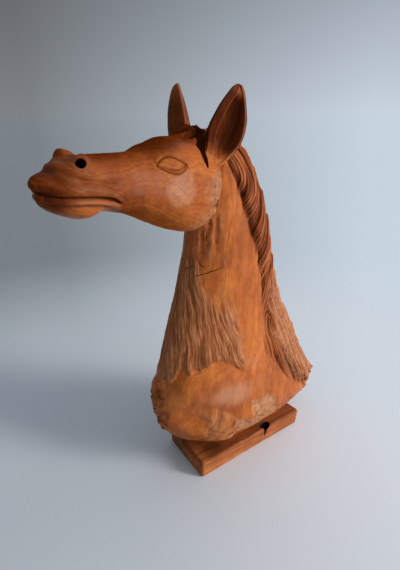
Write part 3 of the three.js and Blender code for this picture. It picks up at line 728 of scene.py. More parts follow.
def head_relief(forward, left, z):
    """The head's relief and its layers."""
    side = np.abs(left)
    brow = BROW_RISE * spot(forward, z, BROW)
    cheek_hollow = -CHEEK_HOLLOW_DEPTH * spot(forward, z, CHEEK_HOLLOW) * smooth(side, 8, 20)
    muzzle, muzzle_dark, muzzle_pale = muzzle_relief(forward, left, z)
    poll, poll_dark = poll_relief(forward, left, z)
    eye, eye_dark = eye_relief(forward, z)
    eye_side = smooth(side, 12, 20)
    crust, crust_dark, crust_pale = crust_relief(forward, side, z)
    marks = 0.3 * rough(forward / 16, (z + left) / 10, seed=45)
    relief = brow + cheek_hollow + muzzle + poll + eye_side * eye + crust + marks

    # A varnished patch on the cheek, with a painted highlight on it.
    patch = (np.abs((forward - 77) / 18.5) ** 3 + np.abs((z - 397.5) / 17) ** 3) ** (1 / 3)
    painted_highlight_place = 4 * (1 - patch) + rough(forward / 9, z / 9, seed=49)
    lower_lip = 0.45 * within(forward, *LOWER_LIP_RUN) * smooth(mouth_line(forward) - z, 0, 5)
    roof = smooth(head_top(forward) - z, 13, 2) * smooth(forward, 180, 165)
    keel = smooth(z - head_bottom(forward), 20, 3) * smooth(forward, 150, 135)
    # Staining with painted shade: darker towards the muzzle and the nose's front, partly weathering and
    # partly painted shade; painted shade over the head's top, most over the brow, and on the cheek; lighter
    # on the lower lip and low on the jaw.
    stain_and_shade = 0.3 + 0.4 * smooth(forward, 90, 150) + 0.4 * smooth(forward, 182, 205) - lower_lip
    stain_and_shade = stain_and_shade + 0.1 * smooth(z, 425, 440) + roof * (0.25 + 0.5 * smooth(forward, 110, 70))
    stain_and_shade = stain_and_shade + 0.25 * spot(forward, z, CHEEK_SHADE) - 0.2 * smooth(z, 388, 372)
    layers = {
        "groove": np.clip(0.8 * eye_side * eye_dark + muzzle_dark + poll_dark + crust_dark, 0, 1),
        # Pale crust, with painted highlights on the muzzle's lip rolls, nostril rim and folds.
        "raw": np.clip(crust_pale + muzzle_pale, 0, 1),
        "stain_and_shade": stain_and_shade,
        "varnish_and_painted_highlight": 0.45 * smooth(left, 20, 30) * smooth(painted_highlight_place, 0, 1.2) - roof - keel,
        "head": np.ones(z.shape),
    }
    return relief, layers


def head_rings(inset=0):
    """The head's rings of points, drawn in by an inset, and their layers."""
    fine = np.linspace(HEAD_BACK, HEAD_FRONT, 800)
    closer = 1 + 1.4 * within(fine, *EYE_RUN) + 0.6 * smooth(fine, 150, 165)
    forwards = np.append(spread(fine, closer, HEAD_RINGS), HEAD_FRONT)
    turn = np.linspace(0, 2 * np.pi, FINE_STEPS + 1)
    angles = []
    for forward in forwards:
        left, z = head_section(np.full(turn.shape, forward), turn)
        eyes = within(z, *EYE_HEIGHTS) * within(forward, *EYE_RUN)
        lips = smooth(forward, 136, 144) * bump((z - mouth_line(forward) + 2) / 8)
        weight = np.gradient(gone_along(left, z), turn) * (1 + 2 * eyes + 1.2 * lips)
        angles.append(spread(turn, weight, HEAD_COLUMNS))
    angle = np.array(angles)
    forward = np.broadcast_to(forwards[:, None], angle.shape)
    left, z = head_section(forward, angle)
    relief, layers = head_relief(forward, left, z)
    lift = relief - inset
    rings = head_place(forward + nose_lean(forward, z), left + lift * np.cos(angle), z + lift * np.sin(angle))
    middle = rings[-1].mean(axis=0)
    ends = []
    for step in range(1, NOSE_END_RINGS):
        t = step / NOSE_END_RINGS * np.pi / 2
        ahead = head_way(1, 0, 0) * NOSE_ROUNDING * np.sin(t)
        ends.append(middle + (rings[-1] - middle) * np.cos(t) + ahead)
    rings = np.concatenate([rings, np.array(ends)])
    for name, values in layers.items():
        layers[name] = np.concatenate([values, np.repeat(values[-1:], len(ends), axis=0)])
    return rings, layers


def far_nostril():
    """The egg-shaped flare of the nostril on the far side."""
    rows = np.linspace(0.04, np.pi - 0.04, 22)[:, None]
    turn = np.linspace(0, 2 * np.pi, 36, endpoint=False)[None, :]
    run = np.cos(rows) + 0 * turn
    forward = FAR_NOSTRIL[0] + np.where(run > 0, FAR_NOSTRIL_AHEAD, FAR_NOSTRIL_BEHIND) * run
    left = FAR_NOSTRIL[1] + FAR_NOSTRIL_WIDTH * np.sin(rows) * np.cos(turn)
    z = FAR_NOSTRIL[2] + FAR_NOSTRIL_RISE * np.sin(rows) * np.sin(turn) - 2.5 * np.abs(run)
    # An even darkening by a multiply, like the muzzle's front around it.
    stain_and_shade = np.full(z.shape, FAR_NOSTRIL_DARKENING)
    return closed_object("far_nostril", head_place(forward, left, z), {"stain_and_shade": stain_and_shade})


# Ears: leaf-shaped shells with a scooped front, by share of the length from root to tip.
# Each has its root, its tip and the way it faces, then its bow to the side, its lean, its painted shade and
# its seed.

EAR_RINGS = 56
EAR_ARC = 24
EAR_RIM = 4.4
RIM_STEPS = np.array([[0.25, 0.55, 0.85]])
LEFT_EAR = (head_place(24, 33, 409), head_place(-9, 50, 497), np.array([0.97, -0.12, 0.1]), 5.6, 0, 1.25, 61)
RIGHT_EAR = (
    head_place(-4.3, -16, 415), head_place(-19.8, -44.3, 501.5), np.array([0.7, 0.71, 0.05]), 0, 4.2, 0.5, 71,
)
ear_half_width = along((0, 5), (0.12, 9), (0.25, 15), (0.45, 21), (0.7, 18.2), (0.9, 10.2), (0.97, 6), (1, 3))
ear_depth = along((0, 11), (0.3, 23), (0.6, 21.5), (0.9, 11.5), (0.97, 7), (1, 3))
ear_scoop = along(
    (0, 0.3), (0.16, 0.4), (0.22, 3), (0.34, 13), (0.6, 12), (0.82, 6.5), (0.89, 0.6), (1, 0.3),
)


def ear_object(name, root, tip, facing, bow, lean, shade, seed):
    length = np.linalg.norm(tip - root)
    up = (tip - root) / length
    front = unit(facing - np.dot(facing, up) * up)
    across = np.cross(up, front)
    share = np.linspace(0, 1, EAR_RINGS + 1)[:, None]
    outer_angle = np.linspace(0, np.pi, EAR_ARC + 1)[None, :]
    inner_angle = outer_angle[:, ::-1]
    arch = np.sin(np.pi * share)
    half = ear_half_width(share)
    rim = np.where(np.cos(inner_angle) > 0, 0.75, 1.8) * EAR_RIM
    inner = np.maximum(half - rim, 0.25 * half)
    inside = np.sin(inner_angle) * within(share, 0.1, 0.3, 0.84, 0.9)
    strokes = 0.5 * rough(inner_angle * 5, share * 4, seed=seed)
    strokes = strokes + 0.3 * noise(inner_angle * 14, share * 6, seed=seed + 5)
    marks = 0.4 * rough(outer_angle * 3, share * 6, seed=seed + 9)
    outer_x = bow * arch + (half + marks) * np.cos(outer_angle)
    outer_y = -(ear_depth(share) + marks) * np.sin(outer_angle)
    inner_x = bow * arch + inner * np.cos(inner_angle)
    scoop = (ear_scoop(share) + strokes * inside) * np.sin(inner_angle)
    inner_y = 1.4 * np.abs(np.cos(inner_angle)) ** 6 - scoop
    rim_x = outer_x[:, -1:] + (inner_x[:, :1] - outer_x[:, -1:]) * RIM_STEPS
    rim_y = outer_y[:, -1:] + (inner_y[:, :1] - outer_y[:, -1:]) * RIM_STEPS
    x = np.concatenate([outer_x, rim_x, inner_x], axis=1)
    y = np.concatenate([outer_y, rim_y, inner_y], axis=1) + lean * arch
    rings = root + up * (share * length)[..., None] + across * x[..., None] + front * y[..., None]

    # Painted shade in the hollow, and on the ear's back and rim.
    flame = 0.6 + 0.35 * noise(inner_angle * 6, share * 3, seed=seed + 13)
    back = 0.6 * smooth(share, 0.1, 0.3) + 0.2 * noise(outer_angle * 4, share * 5, seed=seed + 15)
    back = np.clip(back, 0, 1)
    rim_dark = np.repeat(back[:, -1:], RIM_STEPS.size, axis=1)
    dark = np.concatenate([back, rim_dark, flame * smooth(inside, 0.1, 0.7)], axis=1)
    # A painted highlight along the rim's inner edge.
    pale = np.zeros(dark.shape)
    pale[:, -(EAR_ARC + 1):] = 0.6 * np.abs(np.cos(inner_angle)) ** 30 * smooth(share, 0.12, 0.3)
    # Painted shade over the shell, less at the root and tip and on the pale rim line.
    stain_and_shade = shade * smooth(share, 0.2, 0.4) * (1 - 0.5 * smooth(share, 0.86, 0.94)) * (1 - pale)
    return closed_object(name, rings, {"groove": dark, "stain_and_shade": stain_and_shade, "raw": pale})


# Cuts. Their cut faces are painted dark: shade with some dirt in the mouth gap and the cracks, and a
# near-black painted shadow in the nostrils and the ear hollow.

MOUTH_BACK, MOUTH_FRONT = 141, 224
MOUTH_REACH = 60
NOSTRIL_TAPER = np.array([0.5, 0.85, 1, 1.15])
# How dark the cut faces of the nostrils and the ear hollow are painted; above 1 the painted shadow turns near
# black.
HOLE_SHADE = 2
EAR_HOLLOW_SHADE = 1.1
EAR_HOLLOW = (
    (8, 10, 460), (15, 16, 452), (22.5, 22.5, 444.5), (29, 28.5, 437), (31.5, 33.5, 429.5), (32, 37.5, 422),
    (33, 40, 416),
)
EAR_HOLLOW_RADII = (5, 6.6, 6.2, 5, 3.6, 2.3, 1)
EAR_HOLLOW_STEPS = 26
CRACKS = (
    ((15, -90, 285.5), (22, -84, 289), (27, -79, 291), (31, -70, 293), (35, -60, 297)),
    ((18, -83, 306), (20, -82, 301), (23, -80.5, 298.5), (27, -78, 296)),
    ((2, -93, 293), (9, -91.5, 297), (17, -87, 301)),
)
CRACK_STEPS = 15
CRACK_WIDTH = 0.55
CRACK_DEPTH = 4
NECK_AXIS = (0, -20, 0)


def mouth_gap():
    """The gap between the lips: a thin wedge round the muzzle that stops short of its core."""
    above = along(
        (141, 0.2), (146, 1.5), (155, 2.0), (163, 1.5), (172, 0.7), (192, 0.5), (200, 1.0), (205, 1.6),
        (210, 2.8), (224, 6),
    )
    below = along(
        (141, 0.2), (146, 1.3), (155, 1.5), (163, 1.1), (172, 0.6), (192, 0.5), (200, 0.8), (224, 1.0),
    )
    forward = np.arange(MOUTH_BACK, MOUTH_FRONT, 2.0)[:, None]
    left = np.array([[-MOUTH_REACH, MOUTH_REACH, MOUTH_REACH, -MOUTH_REACH]])
    low, high = -below(forward), above(forward)
    z = mouth_line(forward) + np.concatenate([low, low, high, high], axis=1)
    wedge = closed_object("mouth_gap", head_place(forward, left, z), {"groove": np.ones(z.shape)})
    core = closed_object("mouth_core", head_rings(MOUTH_DEPTH)[0], {"groove": np.ones(1)})
    combine(wedge, core, "DIFFERENCE")
    return wedge


def tube_object(name, points, radii, sides, flatten=1.0, flat_way=(0.31, 0.2, 0.93), dark=1):
    """A closed tube round a line of points, with a radius at each, flattened across one direction."""
    points = np.asarray(points, float)
    ahead = unit(np.gradient(points, axis=0))
    first = unit(np.cross(ahead, flat_way))
    second = np.cross(ahead, first)
    turn = np.linspace(0, 2 * np.pi, sides, endpoint=False)[None, :, None]
    around = first[:, None] * np.cos(turn) * flatten + second[:, None] * np.sin(turn)
    rings = points[:, None] + np.asarray(radii, float)[:, None, None] * around
    return closed_object(name, rings, {"groove": np.full(rings.shape[:2], dark)})


def nostril_hole(side):
    axis = unit(head_way(0.4, side * 0.8, 0.45))
    mouth = head_place(NOSTRIL_FORWARD + NOSTRIL_HOLE_AHEAD, side * (NOSTRIL_LEFT + 6), NOSTRIL_HEIGHT)
    line = [mouth + axis * step * NOSTRIL_DEPTH for step in (-1, -0.8, 0, 1)]
    return tube_object("nostril", line, NOSTRIL_TAPER * NOSTRIL_RADIUS, 28, dark=HOLE_SHADE)


def ear_hollow():
    """The gap gouged between the tuft and the left ear, painted dark as its shadow."""
    line = resample([head_place(*place) for place in EAR_HOLLOW], EAR_HOLLOW_STEPS)
    radii = resample(np.array(EAR_HOLLOW_RADII)[:, None], EAR_HOLLOW_STEPS)[:, 0]
    steps = np.linspace(0, len(EAR_HOLLOW) - 1, EAR_HOLLOW_STEPS)
    radii = radii * (1 + 0.4 * noise(steps * 2, seed=48))
    return tube_object("ear_hollow", line, radii, 20, dark=EAR_HOLLOW_SHADE)


def crack(points):
    """A thin blade along a drying crack, tapering at both ends, turned to cut into the neck."""
    line = resample(points, CRACK_STEPS)
    steps = np.linspace(0, 1, CRACK_STEPS)
    line[:, 2] += 0.7 * noise(steps * 9, seed=51)
    radii = CRACK_DEPTH * np.sin(np.pi * np.clip(steps, 0.03, 0.97)) ** 0.5
    outward = line.mean(axis=0) * (1, 1, 0) - NECK_AXIS
    return tube_object("crack", line, radii, 10, CRACK_WIDTH / CRACK_DEPTH, outward)


def carved_head():
    carving = closed_object("carved_head", *neck_rings())
    combine(carving, closed_object("head", *head_rings()), "UNION")
    combine(carving, ear_hollow(), "DIFFERENCE")
    combine(carving, far_nostril(), "UNION")
    combine(carving, ear_object("left_ear", *LEFT_EAR), "UNION")
    combine(carving, ear_object("right_ear", *RIGHT_EAR), "UNION")
    combine(carving, mouth_gap(), "DIFFERENCE")
    for side in (1, -1):
        combine(carving, nostril_hole(side), "DIFFERENCE")
    for points in CRACKS:
        combine(carving, crack(points), "DIFFERENCE")
    return carving


# Plinth: a plank with worn edges, broken by a knot hole and a split at its left edge

PLINTH_LENGTH, PLINTH_WIDTH, PLINTH_THICKNESS = 194, 90, 24
PLINTH_CHAMFER = 2.5
PLINTH_END_SKEW = 9.5
PLINTH_END_LEAN = 4
PLINTH_ROWS, PLINTH_COLUMNS = 84, 110
KNOT_X, KNOT_Y, KNOT_RADIUS, KNOT_DEPTH = 38.5, 30, 7.5, 15
KNOT_STEPS = 9
SPLIT_STEPS = 7
SPLIT_RADIUS, SPLIT_END_RADIUS = 3.4, 0.3
DARK_SPOT = (26, 14, -62, 16)


def plank_section():
    """Points round the plank's end, spread evenly over its faces and chamfers."""
    half, cut, top = PLINTH_WIDTH / 2, PLINTH_CHAMFER, PLINTH_THICKNESS
    corners = np.array([
        (-half + cut, 0), (half - cut, 0), (half, cut), (half, top - cut), (half - cut, top),
        (-half + cut, top), (-half, top - cut), (-half, cut), (-half + cut, 0),
    ])
    gone = gone_along(*corners.T)
    places = np.union1d(np.linspace(0, gone[-1], PLINTH_COLUMNS, endpoint=False), gone[:-1])
    return np.stack([np.interp(places, gone, column) for column in corners.T], axis=1)


def board():
    """The plank before it is broken."""
    section = plank_section()
    half_size = np.array([PLINTH_WIDTH, PLINTH_THICKNESS]) / 2
    middle = np.array([0, PLINTH_THICKNESS / 2])
    half = PLINTH_LENGTH / 2
    inner = half - PLINTH_CHAMFER
    places = np.concatenate([[-half], np.linspace(-inner, inner, PLINTH_ROWS), [half]])
    rings = np.empty((len(places), len(section), 3))
    for ring, place in zip(rings, places):
        drawn_in = PLINTH_CHAMFER if abs(place) == half else 0
        ring[:, [0, 2]] = middle + (section - middle) * (1 - drawn_in / half_size)
        ring[:, 1] = place
    x, y, z = np.moveaxis(rings.copy(), -1, 0)
    edge = smooth(np.abs(x), PLINTH_WIDTH / 2 - 4, PLINTH_WIDTH / 2 - 1)
    wear = 0.25 * noise(y / 30, z / 12, x / 30, seed=81) + 0.5 * edge * noise(y / 11, np.sign(x) * 3, seed=82)
    rings[..., 0] += np.sign(x) * smooth(z, 1, 4) * edge * (wear - 0.3)
    x = rings[..., 0]
    rings[..., 2] -= smooth(z, 22, 24) * np.abs(0.3 * noise(x / 9, y / 40, seed=83))
    z = rings[..., 2]
    grime_and_end_shade = 0.25 + 0.8 * spot(x, y, DARK_SPOT) + 0.3 * noise(x / 12, y / 25, seed=86)
    grime_and_end_shade = smooth(z, 21, 23.5) * grime_and_end_shade
    # Painted shade on the plank's front end, which faces away from the light.
    grime_and_end_shade = np.clip(grime_and_end_shade + 0.5 * smooth(-y, half - 4, half - 1), 0, 1)
    y = y + PLINTH_END_SKEW * (half - y) / PLINTH_LENGTH * (0.5 - x / PLINTH_WIDTH)
    rings[..., 1] = y + PLINTH_END_LEAN * smooth(y, half - 30, half) * z / PLINTH_THICKNESS
    return closed_object("plank", rings, {"stain_and_shade": grime_and_end_shade})


def plank():
    made = board()
    z = np.linspace(PLINTH_THICKNESS + 6, PLINTH_THICKNESS - KNOT_DEPTH, KNOT_STEPS)
    sway = 1.2 * noise(z / 5, seed=84)
    line = np.stack([KNOT_X + sway, KNOT_Y + 0.6 * sway, z], axis=1)
    radii = KNOT_RADIUS * np.linspace(1.15, 0.5, KNOT_STEPS) * (1 + 0.12 * noise(z / 3, seed=85))
    combine(made, tube_object("knot", line, radii, 18, 1.25, (1, 0, 0)), "DIFFERENCE")
    line = np.linspace(
        (PLINTH_WIDTH / 2, KNOT_Y - 4, PLINTH_THICKNESS), (PLINTH_WIDTH / 2, KNOT_Y - 6, 7), SPLIT_STEPS,
    )
    radii = np.linspace(SPLIT_RADIUS, SPLIT_END_RADIUS, SPLIT_STEPS)
    combine(made, tube_object("split", line, radii, 8), "DIFFERENCE")
    return made


# Materials: colours are the red, green and blue of a screen, 0 to 255

def colour(red, green, blue):
    """A linear colour from a screen colour."""
    share = np.array([red, green, blue]) / 255
    linear = np.where(share <= 0.04045, share / 12.92, ((share + 0.055) / 1.055) ** 2.4)
    return (*linear, 1)


def colours(*stops):
    """Stops of a ramp from positions and screen colours."""
    return [(position, colour(*shade)) for position, *shade in stops]


def levels(*stops):
    """Stops of a ramp from positions and brightness values."""
    return [(position, (level, level, level, 1)) for position, level in stops]


WOOD = colours((0.28, 138, 69, 31), (0.46, 182, 95, 40), (0.6, 205, 115, 52), (0.76, 220, 137, 73))
BEARD = colours((0.33, 84, 42, 22), (0.5, 152, 88, 52), (0.68, 216, 156, 110))
MANE = colours((0.3, 78, 24, 8), (0.5, 160, 70, 32), (0.72, 226, 142, 92))
PALE_WOOD_AND_HIGHLIGHT = colours((0.32, 146, 96, 66), (0.5, 184, 126, 88), (0.68, 208, 154, 116))
BARK = colours((0.35, 72, 32, 12), (0.6, 146, 74, 34), (0.75, 190, 122, 76))
SPLINTER = colours((0.34, 136, 70, 33), (0.46, 190, 110, 60), (0.64, 218, 150, 100))
PLANK = colours((0.3, 108, 54, 24), (0.48, 156, 86, 44), (0.62, 190, 114, 66), (0.78, 210, 142, 94))
PORE = colour(104, 44, 14)
GRAIN_LINE = colour(112, 50, 20)
STAIN_AND_SHADE_TINT = colour(150, 128, 116)
GROOVE_SHADE_AND_GRIME = colour(58, 20, 6)
PAINTED_HOLE_SHADOW = colour(14, 5, 2)
PAINTED_HIGHLIGHT = colour(222, 172, 140)
PLANK_STAIN_AND_SHADE = colour(158, 150, 146)
PLANK_HOLE_SHADOW = colour(26, 14, 9)
PORE_EDGE = levels((0.34, 1), (0.46, 0))
GRAIN_LINE_EDGE = levels((0, 1), (0.05, 0))
PAINTED_HIGHLIGHT_SPECKS = levels((0.4, 0.5), (0.58, 1))
GLOSS = 0.1
VARNISH = 0.08
VARNISH_ROUGHNESS = 0.26
HEAD_PITH_HEIGHT = 0.37


class Nodes:
    """The nodes of a material or a world, each added by a call that gives back its output."""

    def __init__(self, owner, place):
        owner.use_nodes = True
        self.nodes = owner.node_tree.nodes
        self.links = owner.node_tree.links
        self.place = self.add("TexCoord", output=place)

    def fill(self, node, inputs):
        for name, value in inputs.items():
            if isinstance(value, bpy.types.NodeSocket):
                self.links.new(value, node.inputs[name])
            else:
                node.inputs[name].default_value = value

    def add(self, kind, inputs=None, output=0, **settings):
        node = self.nodes.new("ShaderNode" + kind)
        for name, value in settings.items():
            setattr(node, name, value)
        self.fill(node, inputs or {})
        return node.outputs[output]

    def layer(self, name):
        return self.add("Attribute", output="Fac", attribute_name=name)

    def math(self, operation, *values, clamp=False):
        return self.add("Math", dict(enumerate(values)), operation=operation, use_clamp=clamp)

    times = partialmethod(math, "MULTIPLY")
    minus = partialmethod(math, "SUBTRACT")
    larger = partialmethod(math, "MAXIMUM")
    scaled = partialmethod(math, "MULTIPLY_ADD")

    def mix(self, factor, first, second, blend="MIX"):
        inputs = {0: factor, 6: first, 7: second}
        return self.add("Mix", inputs, 2, data_type="RGBA", blend_type=blend)

    def mix_places(self, factor, first, second):
        return self.add("Mix", {0: factor, 4: first, 5: second}, 1, data_type="VECTOR")

    def ramp(self, value, stops):
        socket = self.add("ValToRGB", {0: value})
        elements = socket.node.color_ramp.elements
        while len(elements) < len(stops):
            elements.new(0.5)
        for element, (position, shade) in zip(elements, stops):
            element.position = position
            element.color = shade
        return socket

    def stretched(self, scale, offset=(0, 0, 0)):
        return self.add("Mapping", {"Vector": self.place, "Scale": scale, "Location": offset})

    def turned(self, offset, lengths):
        """Places from an offset, in the head's own directions, divided by lengths."""
        inputs = {"Vector": self.place, "Location": offset, "Rotation": (0, 0, HEAD_TURN), "Scale": lengths}
        return self.add("Mapping", inputs, vector_type="TEXTURE")

    def vector(self, *parts):
        return self.add("CombineXYZ", dict(enumerate(parts)))

    def length(self, vector):
        return self.add("VectorMath", {0: vector}, "Value", operation="LENGTH")

    def along(self, way):
        """How far a place lies along a direction."""
        return self.add("VectorMath", {0: self.place, 1: way}, "Value", operation="DOT_PRODUCT")

    def height(self):
        return self.add("SeparateXYZ", {0: self.place}, "Z")

    def share(self, value, low, high, **settings):
        return self.add("MapRange", {0: value, 1: low, 2: high}, **settings)

    def grain(self, vector, scale, detail=4.0, roughness=0.55, distortion=0.0):
        inputs = {"Vector": vector, "Scale": scale, "Detail": detail}
        inputs |= {"Roughness": roughness, "Distortion": distortion}
        return self.add("TexNoise", inputs)

    def bumps(self, height, depth):
        return self.add("Bump", {"Height": height, "Distance": depth, "Strength": 1.0})


def bare_wood(s, streak, lengthwise):
    """The colour of the bare wood: year rings round a pith, streaks, pores and fine dark lines."""
    head = s.layer("head")
    axis = (*(HEAD_PIVOT[:2] * MM), HEAD_PITH_HEIGHT)
    neck_pith = s.stretched((1, 0.7, 0.06), (0.02, 0.05, 0))
    pith = s.mix_places(head, neck_pith, s.turned(axis, (1, 16, 1)))
    year = s.scaled(s.grain(s.stretched((1, 1, 0.5)), 16.0, 2.0, 0.5), 0.02, s.length(pith))
    figure = s.minus(s.grain(s.vector(year), 190.0, 3.0, 0.6), 0.5)
    mottle = s.grain(s.stretched((1, 1, 0.6)), 75.0, 4.0, 0.6)
    tone = s.scaled(s.grain(s.place, 13.0, 3.0, 0.5), 0.55, s.times(mottle, 0.45))
    tone = s.scaled(figure, 0.34, tone)
    tone = s.scaled(s.minus(streak, 0.5), 0.26, tone)
    pore = s.ramp(s.grain(lengthwise, 1000.0, 3.0, 0.6), PORE_EDGE)
    wood = s.mix(s.times(pore, 0.42), s.ramp(tone, WOOD), PORE)
    line = s.ramp(s.math("ABSOLUTE", figure), GRAIN_LINE_EDGE)
    return s.mix(s.times(line, 0.24), wood, GRAIN_LINE)


def carved_wood():
    material = bpy.data.materials.new("oiled carved wood")
    s = Nodes(material, "Object")
    beard_mask, mane_mask, raw_and_highlight_mask = s.layer("beard"), s.layer("mane"), s.layer("raw")
    torn, stain_and_shade, groove, varnish_and_painted_highlight = s.layer("torn"), s.layer("stain_and_shade"), s.layer("groove"), s.layer("varnish_and_painted_highlight")
    lengthwise = s.mix_places(s.layer("head"), s.stretched((1, 1, 0.08)), s.turned((0, 0, 0), (1, 12, 1)))
    streak = s.grain(lengthwise, 420.0, 5.0, 0.65)

    strand = s.layer("strand")
    hair = s.grain(s.vector(strand, 0.0, s.times(s.height(), 22.0)), 1.6, 5.0, 0.7)
    wavy = s.scaled(hair, 1.6, strand)
    ridge = s.math("ABSOLUTE", s.math("SINE", s.times(wavy, np.pi)))
    beard = s.ramp(s.scaled(ridge, 0.07, s.times(hair, 0.93)), BEARD)
    mane = s.ramp(s.scaled(ridge, 0.36, s.times(hair, 0.6)), MANE)
    rubbed = s.grain(s.place, 160.0, 5.0, 0.7)
    bark = s.ramp(s.grain(s.place, 300.0, 4.0, 0.7), BARK)
    along_tear = s.times(s.along((0, TEAR_Y, TEAR_Z)), 45.0)
    across_tear = s.times(s.along((0, TEAR_Z, -TEAR_Y)), 300.0)
    fibre = s.grain(s.vector(along_tear, across_tear), 1.0, 5.0, 0.65)

    base = s.mix(s.times(beard_mask, 0.8), bare_wood(s, streak, lengthwise), beard)
    base = s.mix(s.times(mane_mask, 0.8), base, mane)
    base = s.mix(s.times(s.layer("bark"), 0.5), base, bark)
    # Pale raw wood, with painted highlights on the lip rolls, the ear rims and the strand crests.
    base = s.mix(s.times(raw_and_highlight_mask, 0.9), base, s.ramp(rubbed, PALE_WOOD_AND_HIGHLIGHT))
    base = s.mix(s.times(torn, 0.75), base, s.ramp(fibre, SPLINTER))
    # Staining, with painted shade under the chest, in its hollow, on the upper mane, on the head's top and
    # muzzle and on the ears, darkens the wood by a multiply.
    base = s.mix(stain_and_shade, base, s.mix(1.0, base, STAIN_AND_SHADE_TINT, "MULTIPLY"))
    # Painted shade, with some dirt, in grooves, creases, hollows, cracks and on the ears' backs; past 1, a
    # near-black painted shadow inside the nostrils and the ear hollow.
    base = s.mix(s.times(groove, 0.85), base, GROOVE_SHADE_AND_GRIME)
    base = s.mix(s.minus(groove, 1.0, clamp=True), base, PAINTED_HOLE_SHADOW)
    # A pale painted highlight, in specks, on the varnished patches of the cheek and the chest.
    highlight_specks = s.times(s.ramp(s.grain(s.place, 700.0, 3.0, 0.7), PAINTED_HIGHLIGHT_SPECKS), 0.5)
    base = s.mix(s.times(varnish_and_painted_highlight, highlight_specks, clamp=True), base, PAINTED_HIGHLIGHT)

    furry = s.larger(beard_mask, mane_mask)
    matt = s.larger(s.larger(furry, raw_and_highlight_mask), torn)
    roughness = s.scaled(matt, 0.3, s.scaled(streak, 0.16, 0.32))
    dull = s.larger(groove, s.times(stain_and_shade, 0.6), clamp=True)
    dull = s.larger(dull, s.times(varnish_and_painted_highlight, -1.0), clamp=True)
    shine = s.minus(1.0, s.larger(dull, matt), clamp=True)
    coat = s.scaled(shine, VARNISH, s.times(varnish_and_painted_highlight, 0.25), clamp=True)

    ridged = s.scaled(s.minus(1.0, raw_and_highlight_mask), 1.1, 0.4)
    ribbed = s.times(ridge, s.scaled(mane_mask, ridged, s.times(beard_mask, 0.4)))
    relief = s.scaled(s.times(hair, furry), 3.0, ribbed)
    relief = s.scaled(rubbed, s.times(raw_and_highlight_mask, 2.0), s.scaled(streak, 0.6, relief))
    relief = s.scaled(fibre, s.times(torn, 1.8), relief)
    ripples = s.grain(s.stretched((1, 1, 0.6)), 420.0, 3.0, 0.7)
    s.fill(s.nodes["Principled BSDF"], {
        "Base Color": base,
        "Roughness": roughness,
        "Specular IOR Level": s.scaled(dull, -GLOSS, GLOSS),
        "Normal": s.bumps(relief, 0.0003),
        "Coat Weight": coat,
        "Coat Roughness": VARNISH_ROUGHNESS,
        "Coat Normal": s.bumps(ripples, 0.0006),
    })
    return material


def plank_wood():
    material = bpy.data.materials.new("oiled plank wood")
    s = Nodes(material, "Object")
    figure = s.grain(s.stretched((1, 0.1, 1)), 60.0, 4.0, 0.6, 0.6)
    streak = s.grain(s.stretched((1, 0.05, 1)), 380.0, 5.0, 0.65)
    tone = s.scaled(figure, 0.6, s.times(s.grain(s.place, 22.0, 3.0, 0.5), 0.4))
    base = s.ramp(s.scaled(s.minus(streak, 0.5), 0.4, tone), PLANK)
    # Staining and a dark blotch on the top, and painted shade on the front end, by a multiply.
    base = s.mix(s.layer("stain_and_shade"), base, s.mix(1.0, base, PLANK_STAIN_AND_SHADE, "MULTIPLY"))
    # A near-black painted shadow inside the knot hole and the split.
    base = s.mix(s.layer("groove"), base, PLANK_HOLE_SHADOW)
    s.fill(s.nodes["Principled BSDF"], {
        "Base Color": base,
        "Roughness": s.scaled(streak, 0.2, 0.42),
        "Specular IOR Level": GLOSS,
        "Normal": s.bumps(streak, 0.0004),
    })
    return material


# Pieces

SHARP_EDGE = np.radians(52)


def dress(piece, material, node):
    """Cleans a piece, and gives it its wood, its sharp carved edges and its place in the frame."""
    weld(piece.data)
    fill_layers(piece.data)
    piece.data.materials.clear()
    piece.data.materials.append(material)
    piece.data.shade_smooth()
    piece.data.set_sharp_from_angle(angle=SHARP_EDGE)
    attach(piece, "root")
    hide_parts(node)


dress(carved_head(), carved_wood(), "horse_head")
dress(plank(), plank_wood(), "plinth")


# Studio: a pale floor with painted shade to its left, a soft low light from the right, a pale surround, and
# the camera

CAMERA_PLACE = Vector((414.7, -386.2, 469.0)) * MM
CAMERA_FORWARD = Vector((-0.7378, 0.5695, -0.3624))
CAMERA_RIGHT = (0.611, 0.7916, 0)
CAMERA_FOCAL_PIXELS = 440
IMAGE_HEIGHT_PIXELS = 570
SENSOR = 36
SIDE_SHARE = 0.34
WINDOW_AZIMUTH = np.radians(36)
WINDOW_HEIGHTS = np.radians((6, 18, 30))
WINDOW_POWER = 0.93
WINDOW_SPREAD = np.radians(18)
WINDOW_TINT = (1, 0.97, 0.93)
SURROUND_LEFT = (0.21, 0.225, 0.24, 1)
SURROUND_RIGHT = (0.58, 0.65, 0.74, 1)
SURROUND_RISE = levels((0, 1), (0.2, 0.66), (0.45, 1), (1, 1.1))
FLOOR_REACH = 40
FLOOR_LEFT = (0.58, 0.615, 0.65, 1)
FLOOR_RIGHT = (0.92, 0.95, 0.99, 1)
FAR_LEFT = (0.27, 0.29, 0.3, 1)
FAR_RIGHT = (0.86, 0.94, 1.0, 1)
FAR_START, FAR_END = 0.35, 1.1


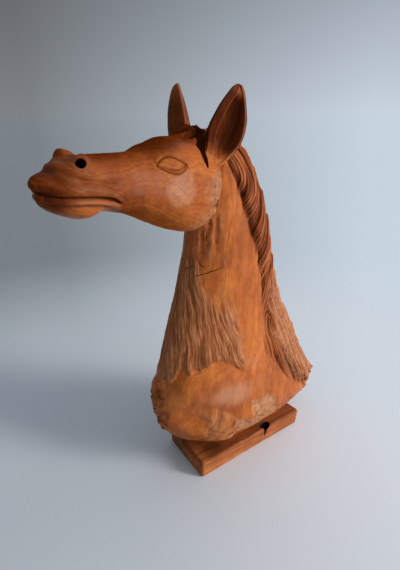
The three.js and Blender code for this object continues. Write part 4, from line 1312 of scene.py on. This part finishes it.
def pale_floor():
    """A floor that is palest near the object and painted darker to the left as shade, darker still from a
    short way off to the left as a painted shadow; far off it takes the surround's own shade.
    """
    material = bpy.data.materials.new("pale floor")
    s = Nodes(material, "Object")
    distance = s.length(s.place)
    run = s.math("DIVIDE", s.along(CAMERA_RIGHT), s.math("ADD", distance, 0.5))
    side = s.share(run, -SIDE_SHARE, SIDE_SHARE)
    far = s.share(distance, FAR_START, FAR_END, interpolation_type="SMOOTHSTEP")
    s.fill(s.nodes["Principled BSDF"], {
        "Base Color": s.mix(far, s.mix(side, FLOOR_LEFT, FLOOR_RIGHT), s.mix(side, FAR_LEFT, FAR_RIGHT)),
        "Roughness": 0.7,
        "Normal": s.bumps(s.grain(s.place, 30.0), 0.00005),
    })
    return material


def floor():
    mesh = bpy.data.meshes.new("floor")
    corners = [(x * FLOOR_REACH, y * FLOOR_REACH, 0) for x, y in ((-1, -1), (1, -1), (1, 1), (-1, 1))]
    mesh.from_pydata(corners, [], [(0, 1, 2, 3)])
    mesh.materials.append(pale_floor())
    place_object("floor", mesh)


def window_light():
    """A tall narrow window far off to the right, as one soft lamp above another."""
    for height in WINDOW_HEIGHTS:
        lamp = bpy.data.lights.new("window", "SUN")
        lamp.energy = WINDOW_POWER
        lamp.angle = WINDOW_SPREAD
        lamp.color = WINDOW_TINT
        level = np.cos(height)
        toward = Vector((level * np.cos(WINDOW_AZIMUTH), level * np.sin(WINDOW_AZIMUTH), np.sin(height)))
        place_object("window", lamp).rotation_euler = (-toward).to_track_quat("-Z", "Y").to_euler()


def camera():
    data = bpy.data.cameras.new("camera")
    data.sensor_width = SENSOR
    data.lens = SENSOR * CAMERA_FOCAL_PIXELS / IMAGE_HEIGHT_PIXELS
    data.clip_start = 0.01
    made = place_object("camera", data)
    made.location = CAMERA_PLACE
    made.rotation_euler = CAMERA_FORWARD.to_track_quat("-Z", "Y").to_euler()
    bpy.context.scene.camera = made


def surround():
    """A pale surround, darker to the left and just above the horizon."""
    world = bpy.data.worlds.new("surround")
    s = Nodes(world, "Generated")
    side = s.share(s.along(CAMERA_RIGHT), -SIDE_SHARE, SIDE_SHARE)
    s.fill(s.nodes["Background"], {
        "Color": s.mix(side, SURROUND_LEFT, SURROUND_RIGHT),
        "Strength": s.ramp(s.height(), SURROUND_RISE),
    })
    bpy.context.scene.world = world


floor()
window_light()
camera()
surround()
bpy.context.scene.view_settings.view_transform = "Standard"
